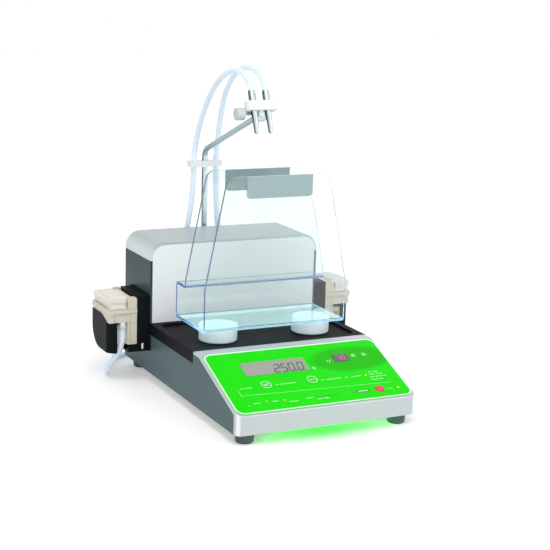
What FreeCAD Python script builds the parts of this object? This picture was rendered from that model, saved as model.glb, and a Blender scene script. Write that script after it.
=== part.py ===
import FreeCAD, Part
import math
import os
import Sketcher
from FreeCAD import Placement, Rotation, Vector

# Gravimetric dilutor: a bench scale with a sloped keypad deck, a tower behind it that holds
# two tube pumps, and a mast that carries two nozzles over a clear bag holder.
# Frame: X across with +X on the user's right, Y from front to back, Z up.
# The origin is on the table, in the middle of the box around the rigid machine.

SIZES = [
    # case
    ("case_width", 240.0, "width of the case"),
    ("case_depth", 370.0, "front face to rear panel"),
    ("base_clearance", 13.0, "underside of the case above the table"),
    ("nose_height", 36.5, "front edge of the deck above the table"),
    ("deck_run", 113.5, "horizontal run of the sloped deck"),
    ("tray_level", 80.0, "top of the tray rim above the table"),
    ("tray_front", 131.0, "front face to the tray"),
    ("tower_front", 276.5, "front face to the tower"),
    ("tower_height", 186.0, "top of the tower above the table"),
    ("shoulder_radius", 20.0, "rounded shoulders of the hood"),
    ("hood_lip", 3.0, "straight lip of the hood under its shoulders"),
    ("corner_radius", 9.0, "upright front corners of the cover"),
    ("edge_radius", 2.0, "broken outer edges of the cover"),
    ("panel_thick", 3.0, "side, front and rear panels, hood and cover wall"),
    ("pan_thick", 2.0, "steel of the base pan"),
    ("pan_flange", 12.0, "height of the pan's upturned edge"),
    # tray
    ("skirt_depth", 15.0, "height of the tray with its skirt"),
    ("tray_rim", 9.0, "width of the raised rim"),
    ("recess_depth", 3.0, "depth of the sunken floor under the rim"),
    ("recess_radius", 12.0, "corners of the sunken floor"),
    ("post_clearance", 1.5, "free gap round each weighing post"),
    # feet and screws
    ("foot_diameter", 24.0, "rubber foot at the top"),
    ("foot_inset_x", 18.0, "foot centre from the side of the case"),
    ("foot_inset_y", 17.0, "foot centre from the front and the back of the case"),
    ("screw_diameter", 4.0, "shank of the case screws"),
    ("screw_head", 7.0, "head of the case screws"),
    ("screw_head_high", 4.0, "height of a screw head"),
    ("foot_recess", 7.0, "depth of the screw recess in a foot"),
    # keypad deck, measured across and up the slope from its front edge
    ("membrane_thick", 1.0, "keypad overlay"),
    ("membrane_side", 2.4, "overlay edge from the side of the case"),
    ("membrane_low", 2.6, "overlay's lower edge up the slope"),
    ("membrane_high", 119.6, "overlay's upper edge up the slope"),
    ("membrane_radius", 11.0, "corners of the overlay"),
    ("lcd_x", -36.0, "middle of the large display"),
    ("lcd_s", 82.5, "middle of the large display up the slope"),
    ("lcd_width", 85.0, "large display"),
    ("lcd_length", 25.0, "large display up the slope"),
    ("led_x", 57.0, "middle of the small display"),
    ("led_s", 86.5, "middle of the small display up the slope"),
    ("led_width", 21.0, "small display"),
    ("led_length", 13.5, "small display up the slope"),
    ("display_deep", 8.0, "display modules below the deck"),
    ("display_proud", 0.7, "display face above the overlay"),
    ("board_thick", 1.6, "circuit board under the deck"),
    ("board_edge", 6.0, "circuit board beyond its posts and the small display"),
    ("post_radius", 3.0, "posts that carry the circuit board"),
    ("post_gap", 6.0, "posts beside the large display"),
    ("post_rows", 46.0, "distance of the two rows of posts up the slope"),
    ("key_row_s", 50.5, "row of the two large keys"),
    ("left_key_x", -61.5, "left large key"),
    ("middle_key_x", 0.0, "middle large key"),
    ("large_key", 14.0, "diameter of the large keys"),
    ("upper_key_s", 88.0, "row of the two small keys"),
    ("down_key_x", 75.0, "inner small key"),
    ("up_key_x", 90.0, "outer small key"),
    ("small_key", 8.0, "diameter of the small keys"),
    ("start_key_x", 77.5, "red key"),
    ("start_key_s", 19.5, "red key up the slope"),
    ("start_key", 12.0, "diameter of the red key"),
    ("key_travel", 0.6, "key travel"),
    ("key_proud", 0.8, "key face above the overlay"),
    ("key_flange", 1.2, "width and thickness of the hidden key flange"),
    # weighing system
    ("cell_length", 130.0, "load cell"),
    ("cell_width", 30.0, "load cell"),
    ("cell_high", 22.0, "load cell"),
    ("cell_hole", 12.0, "bending holes of the load cell"),
    ("cell_hole_gap", 26.0, "distance of the bending holes"),
    ("spacer_high", 6.0, "spacers under and on the load cell"),
    ("spacer_long", 32.0, "length of the spacers"),
    ("beam_width", 160.0, "weighing beam across the case"),
    ("beam_depth", 44.0, "weighing beam front to back"),
    ("beam_thick", 6.0, "weighing beam"),
    ("post_diameter", 14.0, "posts under the support pads"),
    ("pad_spacing", 130.6, "distance of the two support pads"),
    ("pad_y", 181.0, "front face to the pads' centres"),
    ("pad_diameter", 49.0, "support pad"),
    ("pad_gap", 0.8, "pad above the tray's floor"),
    ("pad_wall", 4.0, "top wall of a pad over its post"),
    ("cell_travel", 0.3, "how far the load cell's free end sinks at full load"),
    # bag holder
    ("holder_level", 95.0, "underside of the holder above the table"),
    ("holder_front", 149.0, "front face of the case to the holder"),
    ("holder_depth", 94.0, "holder floor"),
    ("holder_width", 195.0, "holder"),
    ("holder_top_width", 140.0, "holder's tall panels at the top"),
    ("holder_high", 193.5, "holder"),
    ("holder_taper", 55.0, "height where the panels start to narrow"),
    ("holder_sheet", 4.0, "acrylic sheet"),
    ("holder_bend", 5.0, "outer radius of the bends"),
    ("holder_corner", 12.0, "top corners of the panels"),
    ("low_wall", 48.0, "height of the low rear wall"),
    ("ledge", 29.0, "ledge from the low wall to the tall rear panel"),
    ("clip_width", 90.0, "clip plate"),
    ("clip_high", 27.0, "clip plate"),
    ("clip_thick", 1.6, "clip plate"),
    ("clip_corner", 5.0, "lower corners of a clip plate"),
    # mast and nozzles
    ("mast_diameter", 8.0, "mast rod"),
    ("mast_offset", 14.0, "mast axis behind the rear panel"),
    ("mast_bend", 290.0, "corner of the mast above the table"),
    ("bend_radius", 14.0, "bend of the mast at its axis"),
    ("arm_angle", 21.0, "rise of the arm"),
    ("arm_length", 190.5, "arm from the mast's corner to its end"),
    ("bracket_width", 26.0, "mast bracket"),
    ("bracket_high", 40.0, "mast bracket"),
    ("bracket_drop", 68.0, "top of the tower above the lower face of the mast bracket"),
    ("mast_stub", 6.0, "mast below its bracket"),
    ("bracket_back", 10.0, "mast axis to the back of the bracket"),
    ("block_width", 42.0, "nozzle block"),
    ("block_depth", 16.0, "nozzle block along the arm"),
    ("block_high", 12.0, "nozzle block"),
    ("lug_width", 15.0, "clamp lug under the nozzle block"),
    ("lug_length", 12.0, "clamp lug along the arm"),
    ("nozzle_spacing", 19.6, "distance of the nozzles"),
    ("sleeve_diameter", 9.6, "upper sleeve of a nozzle"),
    ("sleeve_high", 14.5, "upper sleeve of a nozzle"),
    ("tube_seat", 10.5, "tube inside the sleeve"),
    ("shank_diameter", 8.4, "nozzle below the block"),
    ("tip_diameter", 6.0, "nozzle outlet"),
    ("tip_reach", 28.5, "nozzle below the block"),
    ("nozzle_bore", 3.6, "way through a nozzle"),
    ("knob_diameter", 16.0, "clamp knob"),
    ("knob_length", 11.0, "clamp knob"),
    ("knob_rise", 2.5, "knob axis above the arm's axis"),
    ("knob_back", 7.0, "knob axis behind the middle of the block"),
    ("comb_width", 48.0, "tube clip on the mast"),
    ("comb_depth", 13.0, "tube clip on the mast"),
    ("comb_high", 8.0, "tube clip on the mast"),
    ("comb_level", 267.5, "lower face of the tube clip"),
    ("comb_spacing", 32.0, "distance of the tubes in the clip"),
    ("tube_diameter", 8.0, "silicone tube"),
    # pumps, outward from the side of the case
    ("mount_thick", 18.0, "pump mount"),
    ("mount_front", 277.0, "front face of the case to the pump mount"),
    ("mount_depth", 65.0, "pump mount"),
    ("mount_low", 43.5, "lower face of the pump mount"),
    ("mount_high", 117.0, "upper face of the pump mount"),
    ("mount_flange", 3.0, "flange of the mount against the side panel"),
    ("mount_lip", 1.5, "flange beyond the mount"),
    ("ear_reach", 4.0, "ear of the flange in front of the mount"),
    ("ear_high", 18.0, "ear of the flange"),
    ("pin_out", 9.8, "middle of the mount's pin from the side of the case"),
    ("pin_level", 50.5, "middle of the mount's pin above the table"),
    ("pin_length", 8.6, "pin in the front of the mount"),
    ("pin_radius", 2.4, "pin in the front of the mount"),
    ("head_depth", 64.0, "pump head front to back"),
    ("head_out", 55.6, "pump head from the side of the case"),
    ("plate_thick", 12.5, "back plate of the pump head"),
    ("plate_low", 54.0, "lower face of the back plate"),
    ("chamber_low", 84.0, "lower face of the upper housing"),
    ("flange_low", 95.4, "lower face of the housing's flange"),
    ("flange_high", 101.5, "upper face of the housing's flange"),
    ("flange_proud", 1.0, "flange beyond the housing"),
    ("step_deep", 0.8, "shallow recess in the front of the housing"),
    ("step_out", 50.1, "outer end of the recess from the side of the case"),
    ("lid_low", 110.6, "lower face of the lid slab"),
    ("lid_high", 115.0, "rim of the lid"),
    ("lid_crown", 1.6, "raised middle of the lid above its rim"),
    ("lid_bulge", 5.0, "outward bow of the lid's outer edge"),
    ("lid_rim", 7.0, "width of the lid's rim"),
    ("neck_inset", 1.4, "neck of the lid inside its slab"),
    ("end_wall", 3.0, "walls of the pump head"),
    ("rotor_level", 74.0, "rotor axis above the table"),
    ("rotor_mid", 36.0, "middle of the rollers from the side of the case"),
    ("disc_recess", 2.2, "recess of the back plate for the inner disc"),
    ("roller_ring", 16.5, "roller axes from the rotor axis"),
    ("roller_radius", 6.0, "roller"),
    ("roller_length", 10.4, "roller"),
    ("roller_pin", 1.6, "radius of the roller pins"),
    ("disc_thick", 1.7, "rotor discs"),
    ("disc_radius", 20.5, "rotor discs"),
    ("shaft_radius", 4.0, "drive shaft"),
    ("squeezed_tube", 3.2, "thickness of the tube under the track"),
    ("tube_band", 9.5, "width of the squeezed tube"),
    ("track_half", 22.0, "half length of the lid's track"),
    ("track_low", 91.0, "lower edge of the lid's track"),
    ("track_width", 10.4, "width of the lid's track"),
    ("hinge_in", 6.2, "hinge axis outward of the pump mount"),
    ("hinge_level", 109.4, "hinge axis above the table"),
    ("hinge_barrel", 5.6, "radius of the lid's hinge barrel"),
    ("lug_round", 4.0, "rounded corners of the hinge lugs"),
    ("hinge_pin", 1.5, "radius of the hinge pin"),
    ("hinge_lug", 4.0, "lugs of the back plate that hold the hinge pin"),
    ("guard_proud", 1.1, "guard beyond the pump head"),
    ("guard_front", 12.0, "guard's front wall across"),
    ("guard_round", 28.0, "rounded lower back of the guard"),
    ("guard_corner", 11.0, "rounded upright front edge of the guard"),
    ("guard_flap", 91.3, "upper edge of the guard's side"),
    ("guard_slope", 31.0, "sloped front part of that edge"),
    ("guard_slot", 19.0, "slot in the guard's floor for the tube, front to back"),
    ("clamp_depth", 12.0, "tube clamp front to back"),
    ("clamp_high", 25.0, "tube clamp"),
    ("motor_radius", 18.0, "pump motor"),
    ("motor_length", 72.0, "pump motor"),
    # rear and electrics
    ("inlet_x", 59.0, "middle of the power inlet"),
    ("inlet_z", 40.0, "middle of the power inlet above the table"),
    ("inlet_width", 50.0, "flange of the power inlet"),
    ("inlet_high", 28.0, "flange of the power inlet"),
    ("inlet_proud", 3.0, "flange in front of the rear panel"),
    ("inlet_deep", 24.0, "inlet body behind the panel"),
    ("rocker_width", 12.0, "rocker switch"),
    ("rocker_high", 19.0, "rocker switch"),
    ("rocker_pin", 1.2, "radius of the rocker's pivots"),
    ("rocker_proud", 1.2, "rocker's face in front of the flange"),
    ("socket_width", 23.0, "socket for the mains lead"),
    ("socket_high", 17.0, "socket for the mains lead"),
    ("socket_deep", 16.0, "socket for the mains lead"),
    ("supply_width", 110.0, "power supply"),
    ("supply_depth", 56.0, "power supply"),
    ("supply_high", 32.0, "power supply"),
    ("vent_length", 46.0, "vent slot"),
    ("vent_high", 3.0, "vent slot"),
    ("vent_pitch", 8.0, "distance of the vent slots"),
    ("bar_length", 150.0, "light bar under the nose"),
    ("bar_depth", 7.0, "light bar under the nose"),
    ("bar_high", 3.0, "light bar under the nose"),
    ("grip_length", 26.0, "connector of the supply tube"),
    ("tip_radius", 2.6, "tip of the connector"),
    ("tip_length", 8.0, "tip of the connector"),
    # fits
    ("seat", 0.1, "gap of a seated fit"),
    ("shaft_gap", 0.06, "gap round a turning shaft or pin"),
    ("run", 0.3, "gap of a moving fit"),
]

VENT_COUNT = 5
ROLLER_COUNT = 3

doc = FreeCAD.newDocument("Dilutor")
sheet = doc.addObject("Spreadsheet::Sheet", "Sizes")


class Size:
    """A size: its number now, and the formula that ties it to the sheet."""

    def __init__(self, number, formula):
        self.number = float(number)
        self.formula = formula

    def __add__(self, other):
        other = as_size(other)
        return Size(self.number + other.number, "(%s + %s)" % (self.formula, other.formula))

    def __sub__(self, other):
        other = as_size(other)
        return Size(self.number - other.number, "(%s - %s)" % (self.formula, other.formula))

    def __mul__(self, other):
        other = as_size(other)
        return Size(self.number * other.number, "(%s * %s)" % (self.formula, other.formula))

    def __truediv__(self, other):
        other = as_size(other)
        return Size(self.number / other.number, "(%s / %s)" % (self.formula, other.formula))

    def __neg__(self):
        return Size(-self.number, "(0 - %s)" % self.formula)

    def __radd__(self, other):
        return as_size(other) + self

    def __rsub__(self, other):
        return as_size(other) - self

    def __rmul__(self, other):
        return as_size(other) * self


def as_size(value):
    return value if isinstance(value, Size) else Size(value, repr(float(value)))


def sine(angle):
    return Size(math.sin(math.radians(angle.number)), "sin(%s)" % angle.formula)


def cosine(angle):
    return Size(math.cos(math.radians(angle.number)), "cos(%s)" % angle.formula)


def slope_angle(rise, run):
    ratio = rise / run
    return Size(math.degrees(math.atan(ratio.number)), "atan(%s)" % ratio.formula)


def root(value):
    return Size(math.sqrt(value.number), "sqrt(%s)" % value.formula)


class Dimensions:
    """The sheet's named values, each as a Size."""


dim = Dimensions()
for row, (alias, value, meaning) in enumerate(SIZES, 1):
    sheet.set("A%d" % row, alias)
    sheet.set("B%d" % row, str(value))
    sheet.set("C%d" % row, meaning)
    sheet.setAlias("B%d" % row, alias)
    setattr(dim, alias, Size(value, "Sizes." + alias))
doc.recompute()

# Derived places. Distances that start at the front face are measured back from it.
half = dim.case_width / 2
front = -(dim.case_depth + dim.mast_offset + dim.bracket_back) / 2
deck_angle = slope_angle(dim.tray_level - dim.nose_height, dim.deck_run)
mast_y = front + dim.case_depth + dim.mast_offset
bracket_low = dim.tower_height - dim.bracket_drop
bracket_high = bracket_low + dim.bracket_high


def back(distance):
    """Y of a place so far behind the front face."""
    return front + distance


def bind(obj, path, value):
    obj.setExpression(path, as_size(value).formula)


def place(obj, x=0, y=0, z=0, rotation=Rotation()):
    """Put an object at a place whose coordinates stay tied to the sheet."""
    spot = [as_size(value) for value in (x, y, z)]
    obj.Placement = Placement(Vector(*[value.number for value in spot]), rotation)
    for letter, value in zip("xyz", spot):
        bind(obj, "Placement.Base." + letter, value)
    return obj


def turned_about_x(obj, x, y, z, angle):
    """Place an object that leans about the X axis."""
    place(obj, x, y, z, Rotation(Vector(1, 0, 0), angle.number))
    bind(obj, "Placement.Rotation.Angle", angle)
    return obj


def on_deck(obj, x=0, s=0, lift=0):
    """Place an object on the sloped deck: across, up the slope, and above the surface."""
    s, lift = as_size(s), as_size(lift)
    y = front + s * cosine(deck_angle) - lift * sine(deck_angle)
    z = dim.nose_height + s * sine(deck_angle) + lift * cosine(deck_angle)
    return turned_about_x(obj, x, y, z, deck_angle)


def along_arm(obj, x=0, s=0, w=0):
    """Place an object on the arm: across, along it from the mast's corner, and above its axis."""
    s, w = as_size(s), as_size(w)
    y = mast_y - s * cosine(dim.arm_angle) + w * sine(dim.arm_angle)
    z = dim.mast_bend + s * sine(dim.arm_angle) + w * cosine(dim.arm_angle)
    lean = -dim.arm_angle
    return turned_about_x(obj, x, y, z, lean)


def block(name, x, y, z):
    """A box from three pairs of low and high places."""
    obj = doc.addObject("Part::Box", name)
    low = [as_size(pair[0]) for pair in (x, y, z)]
    for prop, pair in zip(("Length", "Width", "Height"), (x, y, z)):
        bind(obj, prop, as_size(pair[1]) - pair[0])
    return place(obj, *low)


TURNS = {
    "x": Rotation(Vector(0, 1, 0), 90),
    "y": Rotation(Vector(1, 0, 0), -90),
    "z": Rotation(),
}


def cylinder(name, radius, length, x=0, y=0, z=0, axis="z"):
    """A cylinder that starts at a place and runs along +X, +Y or +Z."""
    obj = doc.addObject("Part::Cylinder", name)
    bind(obj, "Radius", radius)
    bind(obj, "Height", length)
    return place(obj, x, y, z, TURNS[axis])


def fuse(label, *pieces):
    obj = doc.addObject("Part::MultiFuse", label)
    obj.Shapes = list(pieces)
    obj.Refine = True
    return obj


def cut(label, base, *tools):
    obj = doc.addObject("Part::Cut", label)
    obj.Base = base
    obj.Tool = tools[0] if len(tools) == 1 else fuse(label + "_tools", *tools)
    obj.Refine = True
    return obj


def group(label, *pieces):
    """Separate solids of one kind that share a node."""
    obj = doc.addObject("Part::Compound", label)
    obj.Links = list(pieces)
    return obj


def mirrored(label, source):
    """The same piece on the other side of the machine."""
    obj = doc.addObject("Part::Mirroring", label)
    obj.Source = source
    obj.Base = Vector(0, 0, 0)
    obj.Normal = Vector(1, 0, 0)
    return obj


def new_body(name):
    return doc.addObject("PartDesign::Body", name)


def sketch_on(body, plane, offset):
    """A sketch on one of the body's origin planes, set off along its normal."""
    support = [item for item in body.Origin.OriginFeatures if item.Role == plane + "_Plane"][0]
    sketch = body.newObject("Sketcher::SketchObject", body.Name + "_sketch")
    sketch.AttachmentSupport = [(support, "")]
    sketch.MapMode = "FlatFace"
    bind(sketch, "AttachmentOffset.Base.z", offset)
    return sketch


def pin_point(sketch, geometry, point, spot):
    """Hold one point of a sketch at a place that is tied to the sheet."""
    for kind, value in zip(("DistanceX", "DistanceY"), spot):
        value = as_size(value)
        index = sketch.addConstraint(Sketcher.Constraint(kind, -1, 1, geometry, point, value.number))
        bind(sketch, "Constraints[%d]" % index, value)


def draw_polygon(sketch, corners):
    spots = [Vector(as_size(a).number, as_size(b).number, 0) for a, b in corners]
    first = sketch.GeometryCount
    count = len(spots)
    for i in range(count):
        sketch.addGeometry(Part.LineSegment(spots[i], spots[(i + 1) % count]), False)
    for i in range(count):
        sketch.addConstraint(Sketcher.Constraint("Coincident", first + i, 2, first + (i + 1) % count, 1))
    for i, corner in enumerate(corners):
        pin_point(sketch, first + i, 1, corner)


def draw_circle(sketch, centre, radius):
    radius = as_size(radius)
    middle = Vector(as_size(centre[0]).number, as_size(centre[1]).number, 0)
    geometry = sketch.addGeometry(Part.Circle(middle, Vector(0, 0, 1), radius.number), False)
    pin_point(sketch, geometry, 3, centre)
    index = sketch.addConstraint(Sketcher.Constraint("Radius", geometry, radius.number))
    bind(sketch, "Constraints[%d]" % index, radius)


def rectangle(x, y):
    """Corners of a rectangle from two pairs of low and high places."""
    return [(x[0], y[0]), (x[1], y[0]), (x[1], y[1]), (x[0], y[1])]


def extruded(body, kind, plane, low, high, draw):
    """A pad or a pocket between two places along the plane's axis."""
    flipped = plane == "XZ"
    start = -as_size(low) if flipped else as_size(low)
    sketch = sketch_on(body, plane, start)
    draw(sketch)
    feature = body.newObject("PartDesign::" + kind, body.Name + "_" + kind.lower())
    feature.Profile = sketch
    bind(feature, "Length", as_size(high) - low)
    feature.Reversed = flipped if kind == "Pad" else not flipped
    sketch.Visibility = False
    return feature


def padded(body, plane, low, high, corners):
    return extruded(body, "Pad", plane, low, high, lambda sketch: draw_polygon(sketch, corners))


def pocketed(body, plane, low, high, corners):
    return extruded(body, "Pocket", plane, low, high, lambda sketch: draw_polygon(sketch, corners))


def drilled(body, plane, low, high, centre, radius):
    return extruded(body, "Pocket", plane, low, high, lambda sketch: draw_circle(sketch, centre, radius))


def straight_edges(shape, axis, test):
    """Names of the straight edges along an axis whose middle passes a test."""
    names = []
    for index, edge in enumerate(shape.Edges, 1):
        if edge.Curve.TypeId != "Part::GeomLine":
            continue
        direction = edge.tangentAt(edge.FirstParameter)
        if abs(abs(getattr(direction, axis)) - 1) < 1e-6 and test(edge.CenterOfMass):
            names.append("Edge%d" % index)
    return names


def edges_where(shape, test):
    return ["Edge%d" % index for index, edge in enumerate(shape.Edges, 1) if test(edge)]


def faces_where(shape, test):
    return ["Face%d" % index for index, face in enumerate(shape.Faces, 1) if test(face)]


def rounded(body, radius, picker):
    """Round the edges of the body's newest feature that the picker names."""
    doc.recompute()
    tip = body.Tip
    feature = body.newObject("PartDesign::Fillet", body.Name + "_fillet")
    feature.Base = (tip, picker(tip.Shape))
    bind(feature, "Radius", radius)
    doc.recompute()
    return feature


def shelled(body, wall, open_faces):
    """Hollow the body and leave the named faces open."""
    doc.recompute()
    tip = body.Tip
    feature = body.newObject("PartDesign::Thickness", body.Name + "_shell")
    feature.Base = (tip, open_faces(tip.Shape))
    bind(feature, "Value", wall)
    feature.Reversed = True
    doc.recompute()
    return feature


def faces_towards(face, direction):
    normal = face.normalAt(*[sum(pair) / 2 for pair in (face.ParameterRange[:2], face.ParameterRange[2:])])
    return face.Surface.TypeId == "Part::GeomPlane" and normal.dot(direction) > 0.999999


def near(value, target, slack=0.01):
    return abs(value - target.number) < slack


# Case: a steel pan, two side panels, a moulded cover with the sloped deck, and the tray.

pan_half = half - dim.panel_thick
case_low = dim.base_clearance
strip_under = dim.tray_level - dim.panel_thick
slope = (dim.tray_level - dim.nose_height) / dim.deck_run
skin_drop = dim.panel_thick / cosine(deck_angle)
bend_run = (strip_under - dim.nose_height + skin_drop) / slope
skirt_low = dim.tray_level - dim.skirt_depth
hood_low = dim.tower_height - dim.shoulder_radius - dim.hood_lip
inner_top = dim.tower_height - dim.panel_thick
inner_shoulder = dim.shoulder_radius - dim.panel_thick
rear_y = back(dim.case_depth)
inner_rear = rear_y - dim.panel_thick


def deck_height(distance):
    return dim.nose_height + slope * distance


def make_base_pan():
    body = new_body("base_pan")
    low, high = case_low, case_low + dim.pan_flange
    y = (back(dim.panel_thick), inner_rear)
    padded(body, "XY", low, high, rectangle((-pan_half, pan_half), y))
    inner_round = dim.corner_radius - dim.panel_thick
    rounded(body, inner_round, lambda shape: straight_edges(
        shape, "z", lambda middle: near(middle.y, y[0])))
    shelled(body, dim.pan_thick, lambda shape: faces_where(
        shape, lambda face: faces_towards(face, Vector(0, 0, 1))))
    for x, spot in foot_spots():
        drilled(body, "XY", low, low + dim.pan_thick, (x, spot), dim.screw_diameter / 2 + dim.seat)
    return body


def foot_spots():
    """Places of the four feet."""
    across = half - dim.foot_inset_x
    rows = (back(dim.foot_inset_y), rear_y - dim.foot_inset_y)
    return [(x, y) for x in (-across, across) for y in rows]


def make_side_panel():
    body = new_body("right_side_panel")
    foot = dim.corner_radius
    corners = [
        (back(foot), case_low),
        (rear_y, case_low),
        (rear_y, hood_low),
        (back(dim.tower_front), hood_low),
        (back(dim.tower_front), skirt_low),
        (back(dim.tray_front), skirt_low),
        (back(dim.tray_front), strip_under),
        (back(bend_run), strip_under),
        (back(foot), deck_height(foot) - skin_drop),
    ]
    padded(body, "YZ", pan_half, half, corners)
    shaft_y = back(dim.mount_front + dim.head_depth / 2)
    drilled(body, "YZ", pan_half, half, (shaft_y, dim.rotor_level), dim.shaft_radius + 2)
    return body


def cover_hollow():
    """Corners of the space under the cover's skin, from the front corners' end to the tray."""
    return [
        (back(dim.corner_radius), case_low - 1),
        (back(dim.tray_front + 1), case_low - 1),
        (back(dim.tray_front + 1), strip_under),
        (back(bend_run), strip_under),
        (back(dim.corner_radius), deck_height(dim.corner_radius) - skin_drop),
    ]


def make_front_cover():
    """A moulded skin: front face, sloped deck and the strip in front of the tray."""
    body = new_body("front_cover_shell")
    padded(body, "YZ", -half, half, [
        (front, case_low),
        (front, dim.nose_height),
        (back(dim.deck_run), dim.tray_level),
        (back(dim.tray_front), dim.tray_level),
        (back(dim.tray_front), case_low),
    ])
    rounded(body, dim.corner_radius, lambda shape: straight_edges(
        shape, "z", lambda middle: near(middle.y, front)))
    rounded(body, dim.edge_radius, lambda shape: edges_where(shape, outer_deck_edge))
    hollow = new_body("front_cover_hollow")
    corners = cover_hollow()
    corners[0] = (back(dim.panel_thick), case_low - 1)
    corners[-1] = (back(dim.panel_thick), deck_height(dim.panel_thick) - skin_drop)
    padded(hollow, "YZ", -pan_half, pan_half, corners)
    inner_round = dim.corner_radius - dim.panel_thick
    rounded(hollow, inner_round, lambda shape: straight_edges(
        shape, "z", lambda middle: near(middle.y, back(dim.panel_thick))))
    tools = [hollow]
    for side, x in (("left", (-half - 1, -pan_half + 1)), ("right", (pan_half - 1, half + 1))):
        gap = new_body("front_cover_gap_" + side)
        padded(gap, "YZ", x[0], x[1], cover_hollow())
        tools.append(gap)
    for name, x, s, width, length in windows():
        tools.append(deck_block(name + "_window", x, s, width, length,
                                -2 * dim.panel_thick, dim.panel_thick, dim.seat))
    for name, x, s, diameter in keys():
        well = doc.addObject("Part::Cylinder", name + "_well")
        bind(well, "Radius", diameter / 2 + dim.key_flange + dim.run)
        bind(well, "Height", key_well + dim.panel_thick)
        tools.append(on_deck(well, x, s, -key_well))
    skin = cut("front_cover_skin", body, *tools)
    return fuse("front_cover", skin, *board_posts())


def windows():
    """Name, middle and size of each display's window in the deck."""
    return [
        ("lcd", dim.lcd_x, dim.lcd_s, dim.lcd_width, dim.lcd_length),
        ("led", dim.led_x, dim.led_s, dim.led_width, dim.led_length),
    ]


def outer_deck_edge(edge):
    """Edges of the deck and strip at the cover's sides, its front edge and its corners."""
    box = edge.BoundBox
    middle = edge.CenterOfMass
    on_side = near(abs(middle.x), half) and box.XLength < 1e-6
    top = middle.z > deck_height(middle.y - front.number).number - 0.01
    slanting = on_side and top and box.YLength > 1 and box.ZMax > dim.nose_height.number + 1
    strip = on_side and near(box.ZMin, dim.tray_level)
    brow = near(box.ZMax, dim.nose_height) and near(box.YMin, front) and box.XLength > 50
    curve = edge.Curve.TypeId != "Part::GeomLine"
    corner = curve and box.XLength > 5 and box.ZMax > dim.nose_height.number and near(
        max(abs(box.XMin), abs(box.XMax)), half)
    return slanting or strip or brow or corner


key_well = dim.key_travel + dim.key_flange + 0.6


def keys():
    """Name, place and diameter of each key."""
    return [
        ("tare_key", dim.left_key_x, dim.key_row_s, dim.large_key),
        ("mode_key", dim.middle_key_x, dim.key_row_s, dim.large_key),
        ("down_key", dim.down_key_x, dim.upper_key_s, dim.small_key),
        ("up_key", dim.up_key_x, dim.upper_key_s, dim.small_key),
        ("start_key", dim.start_key_x, dim.start_key_s, dim.start_key),
    ]


def deck_block(name, x, s, width, length, low, high, gap=0):
    """A box on the deck round a middle point, with a gap on its four sides."""
    obj = doc.addObject("Part::Box", name)
    bind(obj, "Length", width + 2 * as_size(gap))
    bind(obj, "Width", length + 2 * as_size(gap))
    bind(obj, "Height", as_size(high) - low)
    return on_deck(obj, x - width / 2 - gap, s - length / 2 - gap, low)


def board_posts():
    """Four posts under the deck that carry the circuit board."""
    posts = []
    reach = dim.lcd_width / 2 + dim.post_gap
    spots = [(dim.lcd_x + turn * reach, s) for turn in (-1, 1) for s in (dim.lcd_s, dim.lcd_s - dim.post_rows)]
    for i, (x, s) in enumerate(spots):
        post = doc.addObject("Part::Cylinder", "board_post_%d" % i)
        bind(post, "Radius", dim.post_radius)
        bind(post, "Height", dim.display_deep - dim.panel_thick + dim.seat * 2)
        posts.append(on_deck(post, x, s, -dim.display_deep))
    return posts


def make_membrane():
    body = new_body("keypad_membrane")
    side = half - dim.membrane_side
    padded(body, "XY", 0, dim.membrane_thick,
           rectangle((-side, side), (dim.membrane_low, dim.membrane_high)))
    rounded(body, dim.membrane_radius, lambda shape: straight_edges(shape, "z", lambda middle: True))
    for name, x, s, width, length in windows():
        sides = (x - width / 2 - dim.seat, x + width / 2 + dim.seat)
        ends = (s - length / 2 - dim.seat, s + length / 2 + dim.seat)
        pocketed(body, "XY", 0, dim.membrane_thick, rectangle(sides, ends))
    for name, x, s, diameter in keys():
        drilled(body, "XY", 0, dim.membrane_thick, (x, s), diameter / 2 + dim.run)
    return on_deck(body)


def make_display(name, x, s, width, length):
    """A display module: its glass stands a little above the overlay, its back on the board."""
    body = new_body(name + "_display")
    padded(body, "XY", -dim.display_deep, dim.membrane_thick + dim.display_proud,
           rectangle((x - width / 2, x + width / 2), (s - length / 2, s + length / 2)))
    rounded(body, 0.6, lambda shape: straight_edges(shape, "z", lambda middle: True))
    return on_deck(body)


def make_board():
    """The circuit board lies on the display modules' backs and the deck's posts."""
    left = dim.lcd_x - dim.lcd_width / 2 - dim.post_gap - dim.board_edge
    right = dim.led_x + dim.led_width / 2 + dim.board_edge
    low = dim.lcd_s - dim.post_rows - dim.board_edge
    high = dim.lcd_s + dim.lcd_length / 2 + dim.board_edge
    return deck_block("display_board", (left + right) / 2, (low + high) / 2, right - left, high - low,
                      -dim.display_deep - dim.board_thick, -dim.display_deep)


def make_key(label, x, s, diameter):
    """A key cap with a hidden flange that the overlay holds down."""
    radius = diameter / 2
    body = new_body(label)
    top = dim.membrane_thick + dim.key_proud
    extruded(body, "Pad", "XY", -dim.key_flange, -dim.seat / 2,
             lambda sketch: draw_circle(sketch, (0, 0), radius + dim.key_flange))
    extruded(body, "Pad", "XY", -dim.seat, top, lambda sketch: draw_circle(sketch, (0, 0), radius))
    rounded(body, 0.5, lambda shape: edges_where(
        shape, lambda edge: near(edge.BoundBox.ZMin, top) and edge.BoundBox.XLength > 1))
    return on_deck(body, x, s)


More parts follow.
